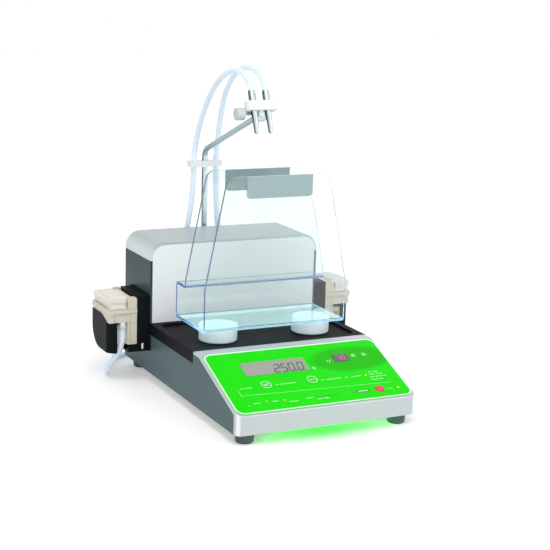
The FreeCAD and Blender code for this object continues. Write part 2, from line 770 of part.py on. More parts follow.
def make_tray():
    body = new_body("tray_cover")
    y = (back(dim.tray_front), back(dim.tower_front))
    padded(body, "XY", skirt_low, dim.tray_level, rectangle((-half, half), y))
    under = dim.tray_level - dim.recess_depth - dim.panel_thick
    pocketed(body, "XY", skirt_low, under, rectangle(
        (-pan_half, pan_half), (y[0] + dim.panel_thick, y[1] - dim.panel_thick)))
    sunk = pocketed(body, "XY", dim.tray_level - dim.recess_depth, dim.tray_level, rectangle(
        (-half + dim.tray_rim, half - dim.tray_rim), (y[0] + dim.tray_rim, y[1] - dim.tray_rim)))
    rounded(body, dim.recess_radius, lambda shape: straight_edges(
        shape, "z", lambda middle: middle.z > under.number and near(abs(middle.x), half - dim.tray_rim)))
    for x in (-dim.pad_spacing / 2, dim.pad_spacing / 2):
        drilled(body, "XY", under, dim.tray_level, (x, back(dim.pad_y)),
                dim.post_diameter / 2 + dim.post_clearance)
    return body


def tower_wall(label, y, z_low):
    """A flat wall that fills the tower's section between the side panels."""
    body = new_body(label)
    padded(body, "XZ", y[0], y[1], rectangle((-pan_half, pan_half), (z_low, inner_top)))
    rounded(body, inner_shoulder, lambda shape: straight_edges(
        shape, "y", lambda middle: near(middle.z, inner_top)))
    return body


def make_hood():
    body = new_body("tower_hood")
    padded(body, "XZ", back(dim.tower_front), rear_y,
           rectangle((-half, half), (hood_low, dim.tower_height)))
    rounded(body, dim.shoulder_radius, lambda shape: straight_edges(
        shape, "y", lambda middle: near(middle.z, dim.tower_height)))
    away = [Vector(0, 0, -1), Vector(0, 1, 0), Vector(0, -1, 0)]
    shelled(body, dim.panel_thick, lambda shape: faces_where(
        shape, lambda face: any(faces_towards(face, direction) for direction in away)))
    return body


def make_rear_panel():
    body = tower_wall("rear_panel", (inner_rear, rear_y), case_low)
    opening = rectangle((dim.inlet_x - dim.inlet_width / 2 + 3, dim.inlet_x + dim.inlet_width / 2 - 3),
                        (dim.inlet_z - dim.inlet_high / 2 + 3, dim.inlet_z + dim.inlet_high / 2 - 3))
    pocketed(body, "XZ", inner_rear, rear_y, opening)
    for x, z in bracket_screw_spots():
        drilled(body, "XZ", inner_rear, rear_y, (x, z), dim.screw_diameter / 2 + dim.seat)
    for side in (-1, 1):
        middle = side * half / 2 + side * 5
        for i in range(VENT_COUNT):
            low = bracket_low - 10 + i * dim.vent_pitch
            pocketed(body, "XZ", inner_rear, rear_y, rectangle(
                (middle - dim.vent_length / 2, middle + dim.vent_length / 2),
                (low, low + dim.vent_high)))
    return body


def bracket_screw_spots():
    """Places of the two screws that hold the mast bracket to the rear panel."""
    across = dim.bracket_width / 2 - dim.screw_head / 2 - 1.5
    levels = (bracket_low + dim.screw_head, bracket_high - dim.screw_head)
    return [(-across, levels[0]), (across, levels[1])]


def make_foot(name, x, y):
    """A tapered rubber foot with a screw recess from below."""
    body = new_body(name)
    sketch = sketch_on(body, "XZ", 0)
    outer = dim.foot_diameter / 2
    screw = dim.screw_diameter / 2 + dim.seat
    head = dim.screw_head / 2 + 1
    draw_polygon(sketch, [
        (screw, dim.foot_recess),
        (head, dim.foot_recess),
        (head, 0),
        (outer - 2.5, 0),
        (outer - 1.2, 1.2),
        (outer, dim.base_clearance),
        (screw, dim.base_clearance),
    ])
    turn = body.newObject("PartDesign::Revolution", name + "_turn")
    turn.Profile = sketch
    turn.ReferenceAxis = (sketch, ["V_Axis"])
    turn.Angle = 360
    return place(body, x, y, 0)


def cap_screw(name, x, y, z, head_high, reach, axis):
    """A screw whose head starts at a place and whose shank runs on along the axis."""
    head = cylinder(name + "_head", dim.screw_head / 2, head_high, x, y, z, axis)
    shank = cylinder(name + "_shank", dim.screw_diameter / 2, as_size(head_high) + reach, x, y, z, axis)
    return fuse(name, head, shank)


def make_feet():
    feet = [make_foot("foot_%d" % i, x, y) for i, (x, y) in enumerate(foot_spots())]
    return group("rubber_feet", *feet)


def make_screws():
    screws = []
    for i, (x, y) in enumerate(foot_spots()):
        level = dim.foot_recess - dim.screw_head_high
        reach = case_low + dim.pan_thick + 3 - dim.foot_recess
        screws.append(cap_screw("foot_screw_%d" % i, x, y, level, dim.screw_head_high, reach, "z"))
    for i, (x, z) in enumerate(bracket_screw_spots()):
        start = mast_y + dim.bracket_back
        screw = cap_screw("bracket_screw_%d" % i, x, 0, z, dim.screw_head_high,
                          dim.mast_offset + dim.bracket_back + dim.panel_thick - dim.screw_head_high, "y")
        place(screw, 2 * x, start, 0, Rotation(Vector(0, 0, 1), 180))
        screws.append(screw)
    return group("case_screws", *screws)


# Weighing system: load cell on the pan, a beam with two posts, the pads and the bag holder.

cell_low = case_low + dim.pan_thick + dim.spacer_high
cell_front = back(dim.pad_y) - dim.cell_length / 2
beam_low = cell_low + dim.cell_high + dim.spacer_high
post_top = dim.holder_level - dim.pad_wall - dim.seat


def make_load_cell():
    body = new_body("load_cell_bar")
    low = (cell_front, cell_low)
    padded(body, "YZ", -dim.cell_width / 2, dim.cell_width / 2, rectangle(
        (low[0], low[0] + dim.cell_length), (low[1], low[1] + dim.cell_high)))
    middle = cell_low + dim.cell_high / 2
    for side in (-1, 1):
        drilled(body, "YZ", -dim.cell_width / 2, dim.cell_width / 2,
                (back(dim.pad_y) + side * dim.cell_hole_gap / 2, middle), dim.cell_hole / 2)
    pocketed(body, "YZ", -dim.cell_width / 2, dim.cell_width / 2, rectangle(
        (back(dim.pad_y) - dim.cell_hole_gap / 2, back(dim.pad_y) + dim.cell_hole_gap / 2),
        (middle - 1, middle + 1)))
    foot = block("load_cell_foot", (-dim.cell_width / 2, dim.cell_width / 2),
                 (cell_front, cell_front + dim.spacer_long), (case_low + dim.pan_thick, cell_low))
    return fuse("load_cell", body, foot)


def make_beam():
    """The beam's spacer stands on the free end of the load cell."""
    cell_rear = cell_front + dim.cell_length
    plate = new_body("beam_plate")
    beam_y = (back(dim.pad_y) - dim.beam_depth / 2, cell_rear)
    padded(plate, "XY", beam_low, beam_low + dim.beam_thick, rectangle(
        (-dim.beam_width / 2, dim.beam_width / 2), (beam_y[0], beam_y[0] + dim.beam_depth)))
    rounded(plate, 8, lambda shape: straight_edges(shape, "z", lambda middle: True))
    tongue = block("beam_tongue", (-dim.cell_width / 2, dim.cell_width / 2),
                   (back(dim.pad_y), cell_rear), (beam_low, beam_low + dim.beam_thick))
    spacer = block("beam_spacer", (-dim.cell_width / 2, dim.cell_width / 2),
                   (cell_rear - dim.spacer_long, cell_rear),
                   (cell_low + dim.cell_high + dim.cell_travel + dim.seat, beam_low))
    posts = [cylinder("beam_post_%d" % i, dim.post_diameter / 2, post_top - beam_low,
                      side * dim.pad_spacing / 2, back(dim.pad_y), beam_low)
             for i, side in enumerate((-1, 1))]
    return fuse("weighing_beam", plate, tongue, spacer, *posts)


def make_pad(name, x):
    """A white pad, turned, with a socket for its post."""
    body = new_body(name)
    low = dim.tray_level - dim.recess_depth + dim.pad_gap
    radius = dim.pad_diameter / 2
    extruded(body, "Pad", "XY", low, dim.holder_level, lambda sketch: draw_circle(sketch, (0, 0), radius))
    rounded(body, 2, lambda shape: edges_where(shape, lambda edge: near(edge.BoundBox.ZMin, low)
                                               and near(edge.BoundBox.ZMax, low)))
    drilled(body, "XY", low, post_top + dim.seat, (0, 0), dim.post_diameter / 2 + dim.seat)
    return place(body, x, back(dim.pad_y), 0)


def make_pads():
    pads = [make_pad("pad_%d" % i, side * dim.pad_spacing / 2) for i, side in enumerate((-1, 1))]
    return group("support_pads", *pads)


holder_y = back(dim.holder_front)
holder_rear = holder_y + dim.holder_depth
holder_top = dim.holder_level + dim.holder_high
rear_face = holder_rear - dim.ledge


def make_holder():
    """One acrylic sheet, bent four times: front panel, floor, low wall, ledge, rear panel."""
    body = new_body("bag_holder")
    t = dim.holder_sheet
    low = dim.holder_level
    wall_top = low + dim.low_wall
    side = dim.holder_width / 2
    padded(body, "YZ", -side, side, [
        (holder_y, low),
        (holder_rear, low),
        (holder_rear, wall_top),
        (rear_face, wall_top),
        (rear_face, holder_top),
        (rear_face - t, holder_top),
        (rear_face - t, wall_top - t),
        (holder_rear - t, wall_top - t),
        (holder_rear - t, low + t),
        (holder_y + t, low + t),
        (holder_y + t, holder_top),
        (holder_y, holder_top),
    ])
    outer = ((holder_y, low), (holder_rear, low), (holder_rear, wall_top), (rear_face - t, wall_top - t))
    inner = ((holder_y + t, low + t), (holder_rear - t, low + t), (holder_rear - t, wall_top - t),
             (rear_face, wall_top))
    for spots, radius in ((outer, dim.holder_bend), (inner, dim.holder_bend - t)):
        rounded(body, radius, lambda shape: straight_edges(
            shape, "x", lambda middle: any(near(middle.y, y) and near(middle.z, z) for y, z in spots)))
    top = dim.holder_top_width / 2
    taper = low + dim.holder_taper
    for turn in (-1, 1):
        pocketed(body, "XZ", holder_y - 1, holder_rear + 1, [
            (turn * side, taper), (turn * top, holder_top), (turn * top, holder_top + 5),
            (turn * (side + 5), holder_top + 5), (turn * (side + 5), taper)])
    rounded(body, dim.holder_corner, lambda shape: straight_edges(
        shape, "y", lambda middle: near(middle.z, holder_top)))
    return body


def make_clip_plate(name, y):
    body = new_body(name)
    side = dim.clip_width / 2
    low = holder_top - dim.clip_high
    padded(body, "XZ", y, y + dim.clip_thick, rectangle((-side, side), (low, holder_top)))
    rounded(body, dim.clip_corner, lambda shape: straight_edges(
        shape, "y", lambda middle: near(middle.z, low)))
    return body


def make_clips():
    return group("clip_plates", make_clip_plate("front_clip", holder_y - dim.clip_thick),
                 make_clip_plate("rear_clip", rear_face))


# Mast: a bent rod in a bracket behind the tower, a tube clip, the nozzle block and its knob.

block_mid = dim.arm_length - 1
block_low = dim.mast_diameter / 2
block_top = block_low + dim.block_high
tube_start = block_top + dim.sleeve_high - dim.tube_seat


def make_mast():
    body = new_body("mast")
    radius = dim.mast_diameter / 2
    foot = bracket_low - dim.mast_stub
    profile = sketch_on(body, "XY", foot)
    draw_circle(profile, (0, mast_y), radius)
    path = sketch_on(body, "YZ", 0)
    arm_y = mast_y - dim.arm_length * cosine(dim.arm_angle)
    arm_z = dim.mast_bend + dim.arm_length * sine(dim.arm_angle)
    quarter = (90 - dim.arm_angle) / 2
    tangent = dim.bend_radius * sine(quarter) / cosine(quarter)
    low_end = (mast_y, dim.mast_bend - tangent)
    high_end = (mast_y - tangent * cosine(dim.arm_angle), dim.mast_bend + tangent * sine(dim.arm_angle))
    centre = (mast_y - dim.bend_radius, dim.mast_bend - tangent)
    spots = [(mast_y, foot), low_end, high_end, (arm_y, arm_z)]
    points = [Vector(a.number, b.number, 0) for a, b in spots]
    path.addGeometry(Part.LineSegment(points[0], points[1]), False)
    path.addGeometry(Part.LineSegment(points[2], points[3]), False)
    arc = Part.Circle(Vector(centre[0].number, centre[1].number, 0), Vector(0, 0, 1),
                      dim.bend_radius.number)
    path.addGeometry(Part.ArcOfCircle(arc, 0, math.radians(90 - dim.arm_angle.number)), False)
    path.addConstraint(Sketcher.Constraint("Coincident", 0, 2, 2, 1))
    path.addConstraint(Sketcher.Constraint("Coincident", 1, 1, 2, 2))
    pin_point(path, 0, 1, spots[0])
    pin_point(path, 0, 2, spots[1])
    pin_point(path, 1, 1, spots[2])
    pin_point(path, 1, 2, spots[3])
    index = path.addConstraint(Sketcher.Constraint("Radius", 2, dim.bend_radius.number))
    bind(path, "Constraints[%d]" % index, dim.bend_radius)
    pipe = body.newObject("PartDesign::AdditivePipe", "mast_pipe")
    pipe.Profile = profile
    pipe.Spine = path
    return body


def make_bracket():
    """A split clamp block on the rear panel; the mast stands in its bore."""
    body = new_body("mast_bracket")
    side = dim.bracket_width / 2
    low, high = bracket_low, bracket_high
    rear = mast_y + dim.bracket_back
    padded(body, "XY", low, high, rectangle((-side, side), (rear_y, rear)))
    rounded(body, 3, lambda shape: straight_edges(shape, "z", lambda middle: near(middle.y, rear)))
    drilled(body, "XY", low, high, (0, mast_y), dim.mast_diameter / 2 + dim.seat)
    pocketed(body, "XY", low, high, rectangle((-0.8, 0.8), (mast_y, rear + 1)))
    for x, z in bracket_screw_spots():
        drilled(body, "XZ", rear_y, rear, (x, z), dim.screw_diameter / 2 + dim.seat)
        drilled(body, "XZ", rear - dim.screw_head_high, rear + 1, (x, z), dim.screw_head / 2 + dim.seat)
    return body


def make_comb():
    """A white clip on the mast; each tube lies in a slot that opens to the back."""
    body = new_body("tube_clip")
    side = dim.comb_width / 2
    y = (mast_y - dim.comb_depth / 2, mast_y + dim.comb_depth / 2)
    high = dim.comb_level + dim.comb_high
    padded(body, "XY", dim.comb_level, high, rectangle((-side, side), y))
    rounded(body, 2, lambda shape: straight_edges(shape, "z", lambda middle: True))
    drilled(body, "XY", dim.comb_level, high, (0, mast_y), dim.mast_diameter / 2 + dim.seat)
    tube = dim.tube_diameter / 2 + dim.seat
    for turn in (-1, 1):
        x = turn * dim.comb_spacing / 2
        drilled(body, "XY", dim.comb_level, high, (x, mast_y), tube)
        pocketed(body, "XY", dim.comb_level, high, rectangle((x - tube * 0.8, x + tube * 0.8), (mast_y, y[1] + 1)))
    return body


def make_nozzle_block():
    body = new_body("nozzle_block_bar")
    side = dim.block_width / 2
    near_end, far_end = -dim.block_depth / 2, dim.block_depth / 2
    padded(body, "XY", block_low, block_top, rectangle((-side, side), (near_end, far_end)))
    rounded(body, dim.block_depth / 2 - 1, lambda shape: straight_edges(shape, "z", lambda middle: True))
    lug = (dim.knob_back - dim.lug_length / 2, dim.knob_back + dim.lug_length / 2)
    padded(body, "XY", -dim.mast_diameter / 2 - 2.5, block_low + 1,
           rectangle((-dim.lug_width / 2, dim.lug_width / 2), lug))
    drilled(body, "XZ", near_end - 20, far_end + 20, (0, 0), dim.mast_diameter / 2 + dim.seat)
    for turn in (-1, 1):
        drilled(body, "XY", -dim.mast_diameter, block_top + 1, (turn * dim.nozzle_spacing / 2, 0),
                dim.shank_diameter / 2 + dim.seat)
    drilled(body, "YZ", -side - 1, 0, (dim.knob_back, dim.knob_rise),
            dim.screw_diameter / 2 + dim.shaft_gap)
    return relabel(along_arm(body, 0, block_mid), "nozzle_block")


def relabel(obj, label):
    obj.Label = label
    return obj


def make_knob():
    """A lobed thumb knob; its screw runs through the lug onto the mast's arm."""
    body = new_body("clamp_knob")
    side = dim.block_width / 2
    inner = -(side + 0.6)
    outer = inner - dim.knob_length
    reach = -dim.mast_diameter / 2 - dim.seat
    centre = (dim.knob_back, dim.knob_rise)
    extruded(body, "Pad", "YZ", outer, inner, lambda sketch: draw_circle(sketch, centre, dim.knob_diameter / 2))
    rounded(body, 1.2, lambda shape: edges_where(shape, lambda edge: near(edge.BoundBox.XMin, outer)
                                                 and edge.BoundBox.YLength > 1))
    extruded(body, "Pad", "YZ", outer + 1, reach, lambda sketch: draw_circle(sketch, centre, dim.screw_diameter / 2))
    return along_arm(body, 0, block_mid)


def make_nozzle(name, x):
    """A turned steel nozzle: sleeve, shank through the block, tapered outlet, through bore."""
    body = new_body(name)
    sketch = sketch_on(body, "XZ", 0)
    bore = dim.nozzle_bore / 2
    sleeve = dim.sleeve_diameter / 2
    shank = dim.shank_diameter / 2
    tip = dim.tip_diameter / 2
    socket = dim.tube_diameter / 2 + dim.seat
    draw_polygon(sketch, [
        (bore, block_low - dim.tip_reach),
        (tip, block_low - dim.tip_reach),
        (shank, block_low - 2),
        (shank, block_top),
        (sleeve, block_top),
        (sleeve, block_top + dim.sleeve_high - 0.4),
        (sleeve - 0.4, block_top + dim.sleeve_high),
        (socket, block_top + dim.sleeve_high),
        (socket, tube_start),
        (bore, tube_start),
    ])
    turn = body.newObject("PartDesign::Revolution", name + "_turn")
    turn.Profile = sketch
    turn.ReferenceAxis = (sketch, ["V_Axis"])
    turn.Angle = 360
    return along_arm(body, x, block_mid)


def make_nozzles():
    nozzles = [make_nozzle("nozzle_%d" % i, turn * dim.nozzle_spacing / 2) for i, turn in enumerate((-1, 1))]
    return group("nozzles", *nozzles)


# Pumps, built on the user's right and mirrored to the left. "out" is outward from the case.

pump_y = back(dim.mount_front)
head_y = (pump_y, pump_y + dim.head_depth)
rotor_y = pump_y + dim.head_depth / 2
plate_out = dim.mount_thick + dim.plate_thick
tube_out = dim.rotor_mid
band_inner = dim.roller_ring + dim.roller_radius + dim.run
band_outer = band_inner + dim.squeezed_tube
track_radius = band_outer + dim.run
hinge_out = dim.mount_thick + dim.hinge_in
port_gap = band_inner + dim.tube_diameter / 2
lug_reach = (dim.mount_high - dim.hinge_level, dim.plate_thick - dim.hinge_in)
lug_swing = root(lug_reach[0] * lug_reach[0] + lug_reach[1] * lug_reach[1])
port_y = (rotor_y - port_gap, rotor_y + port_gap)


def out(distance):
    """X of a place so far outward from the right side of the case."""
    return half + distance


def make_mount():
    """A block with a flange against the side panel; the flange has an ear low at the front."""
    body = new_body("pump_mount_right")
    low, high = dim.mount_low, dim.mount_high
    rear = pump_y + dim.mount_depth
    padded(body, "XY", low, high, rectangle((half, out(dim.mount_thick)), (pump_y, rear)))
    rounded(body, 3, lambda shape: straight_edges(
        shape, "z", lambda middle: near(middle.x, out(dim.mount_thick)) and middle.y > rotor_y.number))
    flange_y = (pump_y - dim.mount_lip, rear + dim.mount_lip)
    ear_y = pump_y - dim.ear_reach
    padded(body, "YZ", half, out(dim.mount_flange), [
        (ear_y, low), (flange_y[1], low), (flange_y[1], high + dim.mount_lip),
        (flange_y[0], high + dim.mount_lip), (flange_y[0], low + dim.ear_high + dim.ear_reach),
        (ear_y, low + dim.ear_high)])
    rounded(body, 2.5, lambda shape: straight_edges(
        shape, "x", lambda middle: near(middle.y, ear_y) or middle.z > high.number + 1))
    drilled(body, "YZ", half, out(dim.mount_thick), (rotor_y, dim.rotor_level), dim.shaft_radius + dim.run)
    extruded(body, "Pocket", "XY", dim.pin_level - dim.pin_length / 2 - dim.seat,
             dim.pin_level + dim.pin_length / 2 + dim.seat,
             lambda sketch: draw_circle(sketch, (out(dim.pin_out), pump_y), dim.pin_radius + dim.seat))
    return body


def make_mount_pin():
    """A round-ended steel pin, half sunk in the mount's front face."""
    body = new_body("mount_pin_right")
    low = dim.pin_level - dim.pin_length / 2
    high = dim.pin_level + dim.pin_length / 2
    extruded(body, "Pad", "XY", low, high,
             lambda sketch: draw_circle(sketch, (out(dim.pin_out), pump_y), dim.pin_radius))
    rounded(body, dim.pin_radius * 0.8, lambda shape: edges_where(
        shape, lambda edge: edge.BoundBox.ZLength < 0.001))
    return body


def make_head():
    """Back plate, and an upper housing that is open to the lid above and the rotor below."""
    body = new_body("pump_body_right")
    plate = (out(dim.mount_thick), out(plate_out))
    shell = (plate[0], out(dim.head_out))
    padded(body, "XY", dim.plate_low, dim.mount_high, rectangle(plate, head_y))
    rounded(body, dim.lug_round, lambda shape: straight_edges(
        shape, "y", lambda middle: near(middle.z, dim.mount_high)))
    padded(body, "XY", dim.chamber_low, dim.flange_high, rectangle(shell, head_y))
    padded(body, "XY", dim.flange_low, dim.flange_high, rectangle(
        (shell[0], shell[1] + dim.flange_proud), (head_y[0] - dim.flange_proud, head_y[1] + dim.flange_proud)))
    inner = (plate[1], shell[1] - dim.end_wall)
    extruded(body, "Pocket", "YZ", inner[0], inner[1], lambda sketch: draw_circle(
        sketch, (rotor_y, dim.rotor_level), track_radius))
    extruded(body, "Pocket", "YZ", plate[1] - dim.disc_recess, plate[1], lambda sketch: draw_circle(
        sketch, (rotor_y, dim.rotor_level), dim.disc_radius + 0.5))
    slot = (rotor_y - dim.track_half - dim.run, rotor_y + dim.track_half + dim.run)
    pocketed(body, "XY", dim.chamber_low, dim.flange_high, rectangle(inner, slot))
    pocketed(body, "XY", dim.hinge_level - dim.hinge_barrel - dim.run, dim.mount_high + 2, rectangle(
        (plate[0] - 1, plate[1] + 1), (head_y[0] + dim.hinge_lug, head_y[1] - dim.hinge_lug)))
    pocketed(body, "XY", dim.chamber_low, dim.flange_low, rectangle(
        (plate[1], out(dim.step_out)), (head_y[0], head_y[0] + dim.step_deep)))
    for y in port_y:
        drilled(body, "XY", dim.chamber_low, dim.chamber_low + 6, (out(tube_out), y),
                dim.tube_diameter / 2 + dim.seat)
    drilled(body, "YZ", plate[0], plate[1], (rotor_y, dim.rotor_level), dim.shaft_radius + dim.shaft_gap)
    drilled(body, "XZ", head_y[0] + 2, head_y[1] - 2, (out(hinge_out), dim.hinge_level), dim.hinge_pin + dim.seat)
    return body


def bowed_outline(sketch, start, end, y, bulge):
    """A plan outline whose outer edge is an arc that bows outward between two corners."""
    low, high = Vector(end.number, y[0].number, 0), Vector(end.number, y[1].number, 0)
    top = Vector((end + bulge).number, ((y[0] + y[1]) / 2).number, 0)
    corners = [Vector(start.number, y[1].number, 0), Vector(start.number, y[0].number, 0)]
    sketch.addGeometry(Part.LineSegment(high, corners[0]), False)
    sketch.addGeometry(Part.LineSegment(corners[0], corners[1]), False)
    sketch.addGeometry(Part.LineSegment(corners[1], low), False)
    sketch.addGeometry(Part.Arc(low, top, high), False)
    for before, after in ((0, 1), (1, 2)):
        sketch.addConstraint(Sketcher.Constraint("Coincident", before, 2, after, 1))
    sketch.addConstraint(Sketcher.Constraint("Coincident", 2, 2, 3, 1))
    sketch.addConstraint(Sketcher.Constraint("Coincident", 3, 2, 0, 1))
    pin_point(sketch, 0, 1, (end, y[1]))
    pin_point(sketch, 1, 1, (start, y[1]))
    pin_point(sketch, 2, 1, (start, y[0]))
    pin_point(sketch, 2, 2, (end, y[0]))
    chord = y[1] - y[0]
    radius = (chord * chord / 4 + bulge * bulge) / (2 * bulge)
    index = sketch.addConstraint(Sketcher.Constraint("Radius", 3, radius.number))
    bind(sketch, "Constraints[%d]" % index, radius)


def make_lid():
    """Bowed slab with a raised crown, neck, and the track over the rollers, on a hinge barrel."""
    body = new_body("pump_lid_slab")
    start = out(hinge_out)
    end = out(dim.head_out)
    extruded(body, "Pad", "XY", dim.lid_low, dim.lid_high,
             lambda sketch: bowed_outline(sketch, start, end, head_y, dim.lid_bulge))
    crown_y = (head_y[0] + dim.lid_rim, head_y[1] - dim.hinge_lug)
    extruded(body, "Pad", "XY", dim.lid_high - 1, dim.lid_high + dim.lid_crown,
             lambda sketch: bowed_outline(sketch, out(plate_out + dim.run), end - dim.lid_rim, crown_y,
                                          dim.lid_bulge))
    rounded(body, dim.lid_crown - 0.1, lambda shape: edges_where(
        shape, lambda edge: near(edge.BoundBox.ZMin, dim.lid_high + dim.lid_crown)))
    neck = (head_y[0] + dim.neck_inset, head_y[1] - dim.neck_inset)
    neck_start = out(plate_out + dim.run)
    padded(body, "XY", dim.flange_high + dim.run, dim.lid_low, rectangle((neck_start, end - dim.neck_inset), neck))
    middle = out(dim.rotor_mid)
    track = (middle - dim.track_width / 2, middle + dim.track_width / 2)
    padded(body, "XY", dim.track_low, dim.lid_low, rectangle(
        track, (rotor_y - dim.track_half, rotor_y + dim.track_half)))
    extruded(body, "Pocket", "YZ", neck_start - 1, end, lambda sketch: draw_circle(
        sketch, (rotor_y, dim.rotor_level), track_radius))
    notches = ((head_y[0] - 1, head_y[0] + dim.hinge_lug + dim.run),
               (head_y[1] - dim.hinge_lug - dim.run, head_y[1] + 1))
    for y in notches:
        extruded(body, "Pocket", "XZ", y[0], y[1], lambda sketch: draw_circle(
            sketch, (out(hinge_out), dim.hinge_level), lug_swing))
    barrel_y = (notches[0][1], notches[1][0])
    extruded(body, "Pad", "XZ", barrel_y[0], barrel_y[1], lambda sketch: draw_circle(
        sketch, (out(hinge_out), dim.hinge_level), dim.hinge_barrel))
    padded(body, "XZ", barrel_y[0], barrel_y[1], rectangle(
        (out(hinge_out), neck_start + 1), (dim.hinge_level - 2, dim.lid_low + 1)))
    drilled(body, "XZ", barrel_y[0], barrel_y[1], (out(hinge_out), dim.hinge_level),
            dim.hinge_pin + dim.shaft_gap)
    return relabel(body, "pump_lid_right")


def make_guard():
    """A black trough round the lower half of the rotor, with a rounded lower back."""
    body = new_body("guard_shell_right")
    hollow = new_body("guard_hollow_right")
    plate = out(plate_out + dim.seat)
    inner = out(dim.mount_thick)
    outer = out(dim.head_out + dim.guard_proud)
    wall = dim.end_wall
    low, high = dim.mount_low, dim.chamber_low - dim.seat
    padded(body, "YZ", inner, outer, rectangle(head_y, (low, high)))
    rounded(body, dim.guard_round, lambda shape: straight_edges(
        shape, "x", lambda middle: near(middle.z, low) and near(middle.y, head_y[1])))
    rounded(body, dim.guard_corner, lambda shape: straight_edges(
        shape, "z", lambda middle: near(middle.x, outer) and near(middle.y, head_y[0])))
    padded(hollow, "YZ", out(plate_out - dim.disc_recess), outer - wall, rectangle(
        (head_y[0] + wall, head_y[1] - wall), (low + wall, high + 1)))
    rounded(hollow, dim.guard_round - wall, lambda shape: straight_edges(
        shape, "x", lambda middle: near(middle.z, low + wall) and near(middle.y, head_y[1] - wall)))
    rounded(hollow, dim.guard_corner - wall, lambda shape: straight_edges(
        shape, "z", lambda middle: near(middle.x, outer - wall) and near(middle.y, head_y[0] + wall)))
    pocketed(body, "XZ", head_y[0] - 1, head_y[1] + 1, rectangle(
        (inner, plate), (dim.plate_low - dim.seat, high)))
    for y, floor in (((head_y[0] - 1, head_y[0] + dim.guard_slot), low - 1),
                     ((head_y[1] - wall - 8, head_y[1] + 1), dim.plate_low)):
        pocketed(body, "XZ", y[0], y[1], rectangle((plate - 1, outer - dim.guard_front), (floor, high)))
    flap_y = (head_y[0] + dim.guard_corner, head_y[1])
    padded(body, "YZ", outer - dim.guard_proud + dim.seat, outer, [
        (flap_y[0], high - 1), (flap_y[1], high - 1), (flap_y[1], dim.guard_flap),
        (head_y[0] + dim.guard_slope, dim.guard_flap), (flap_y[0], high + 1)])
    return cut("pump_guard_right", body, hollow)


def roller_angle(index):
    return 90 + 360 * index / ROLLER_COUNT


def make_rotor():
    """Two discs on the drive shaft, with a pin for each roller between them."""
    inner = dim.rotor_mid - dim.roller_length / 2 - dim.run - dim.disc_thick
    outer = dim.rotor_mid + dim.roller_length / 2 + dim.run
    shaft_start = out(-dim.panel_thick - 14)
    pieces = [
        cylinder("rotor_disc_in", dim.disc_radius, dim.disc_thick, out(inner), rotor_y, dim.rotor_level, "x"),
        cylinder("rotor_disc_out", dim.disc_radius, dim.disc_thick, out(outer), rotor_y, dim.rotor_level, "x"),
        cylinder("rotor_shaft", dim.shaft_radius, out(outer + dim.disc_thick + 1) - shaft_start,
                 shaft_start, rotor_y, dim.rotor_level, "x"),
    ]
    for index in range(ROLLER_COUNT):
        y, z = roller_spot(index)
        pieces.append(cylinder("rotor_pin_%d" % index, dim.roller_pin, out(outer + 1) - out(inner + 1),
                               out(inner + 1), y, z, "x"))
    return fuse("pump_rotor_right", *pieces)


def roller_spot(index):
    angle = math.radians(roller_angle(index))
    return rotor_y + dim.roller_ring * math.cos(angle), dim.rotor_level + dim.roller_ring * math.sin(angle)


def make_roller(index):
    y, z = roller_spot(index)
    start = out(dim.rotor_mid - dim.roller_length / 2)
    label = "roller_right_%d" % (index + 1)
    tube = cylinder(label + "_tube", dim.roller_radius, dim.roller_length, start, y, z, "x")
    bore = cylinder(label + "_bore", dim.roller_pin + dim.shaft_gap, dim.roller_length + 2, start - 1, y, z, "x")
    return cut(label, tube, bore)


def make_pump_tube():
    """The squeezed tube between rollers and track: half a ring, flat in section."""
    start = out(dim.rotor_mid) - dim.tube_band / 2
    ring = cut("band_ring_right",
               cylinder("band_outer", band_outer, dim.tube_band, start, rotor_y, dim.rotor_level, "x"),
               cylinder("band_inner", band_inner, dim.tube_band + 2, start - 1, rotor_y, dim.rotor_level, "x"))
    keep = block("band_keep", (start - 1, start + dim.tube_band + 1),
                 (rotor_y - dim.head_depth / 2, rotor_y + dim.head_depth / 2),
                 (dim.chamber_low + 2.4, dim.lid_high))
    band = doc.addObject("Part::Common", "pump_tube_right")
    band.Base = ring
    band.Tool = keep
    return band


def make_clamp(name, y_port, turn):
    """A cream block beside a port; the tube lies in its half-round groove."""
    side = (plate_out + dim.seat, dim.head_out + dim.guard_proud - dim.guard_front - dim.seat)
    body = new_body(name)
    y_far = y_port + turn * dim.clamp_depth
    y = (y_port, y_far) if turn > 0 else (y_far, y_port)
    low = dim.plate_low + dim.seat
    padded(body, "XY", low, low + dim.clamp_high, rectangle((out(side[0]), out(side[1])), y))
    drilled(body, "XY", low - 1, low + dim.clamp_high + 1, (out(tube_out), y_port),
            dim.tube_diameter / 2 + dim.seat)
    drilled(body, "YZ", out(side[0]) - 1, out(side[1]) + 1, (rotor_y, dim.rotor_level), band_inner)
    return body


def make_motor():
    """Motor and gearbox on the inside of the side panel; the shaft runs in its bore."""
    face = half - dim.panel_thick
    can = cylinder("motor_can", dim.motor_radius, dim.motor_length, face - dim.motor_length,
                   rotor_y, dim.rotor_level, "x")
    bore = cylinder("motor_bore", dim.shaft_radius + dim.shaft_gap, 16, face - 15, rotor_y, dim.rotor_level, "x")
    return cut("motor_right", can, bore)


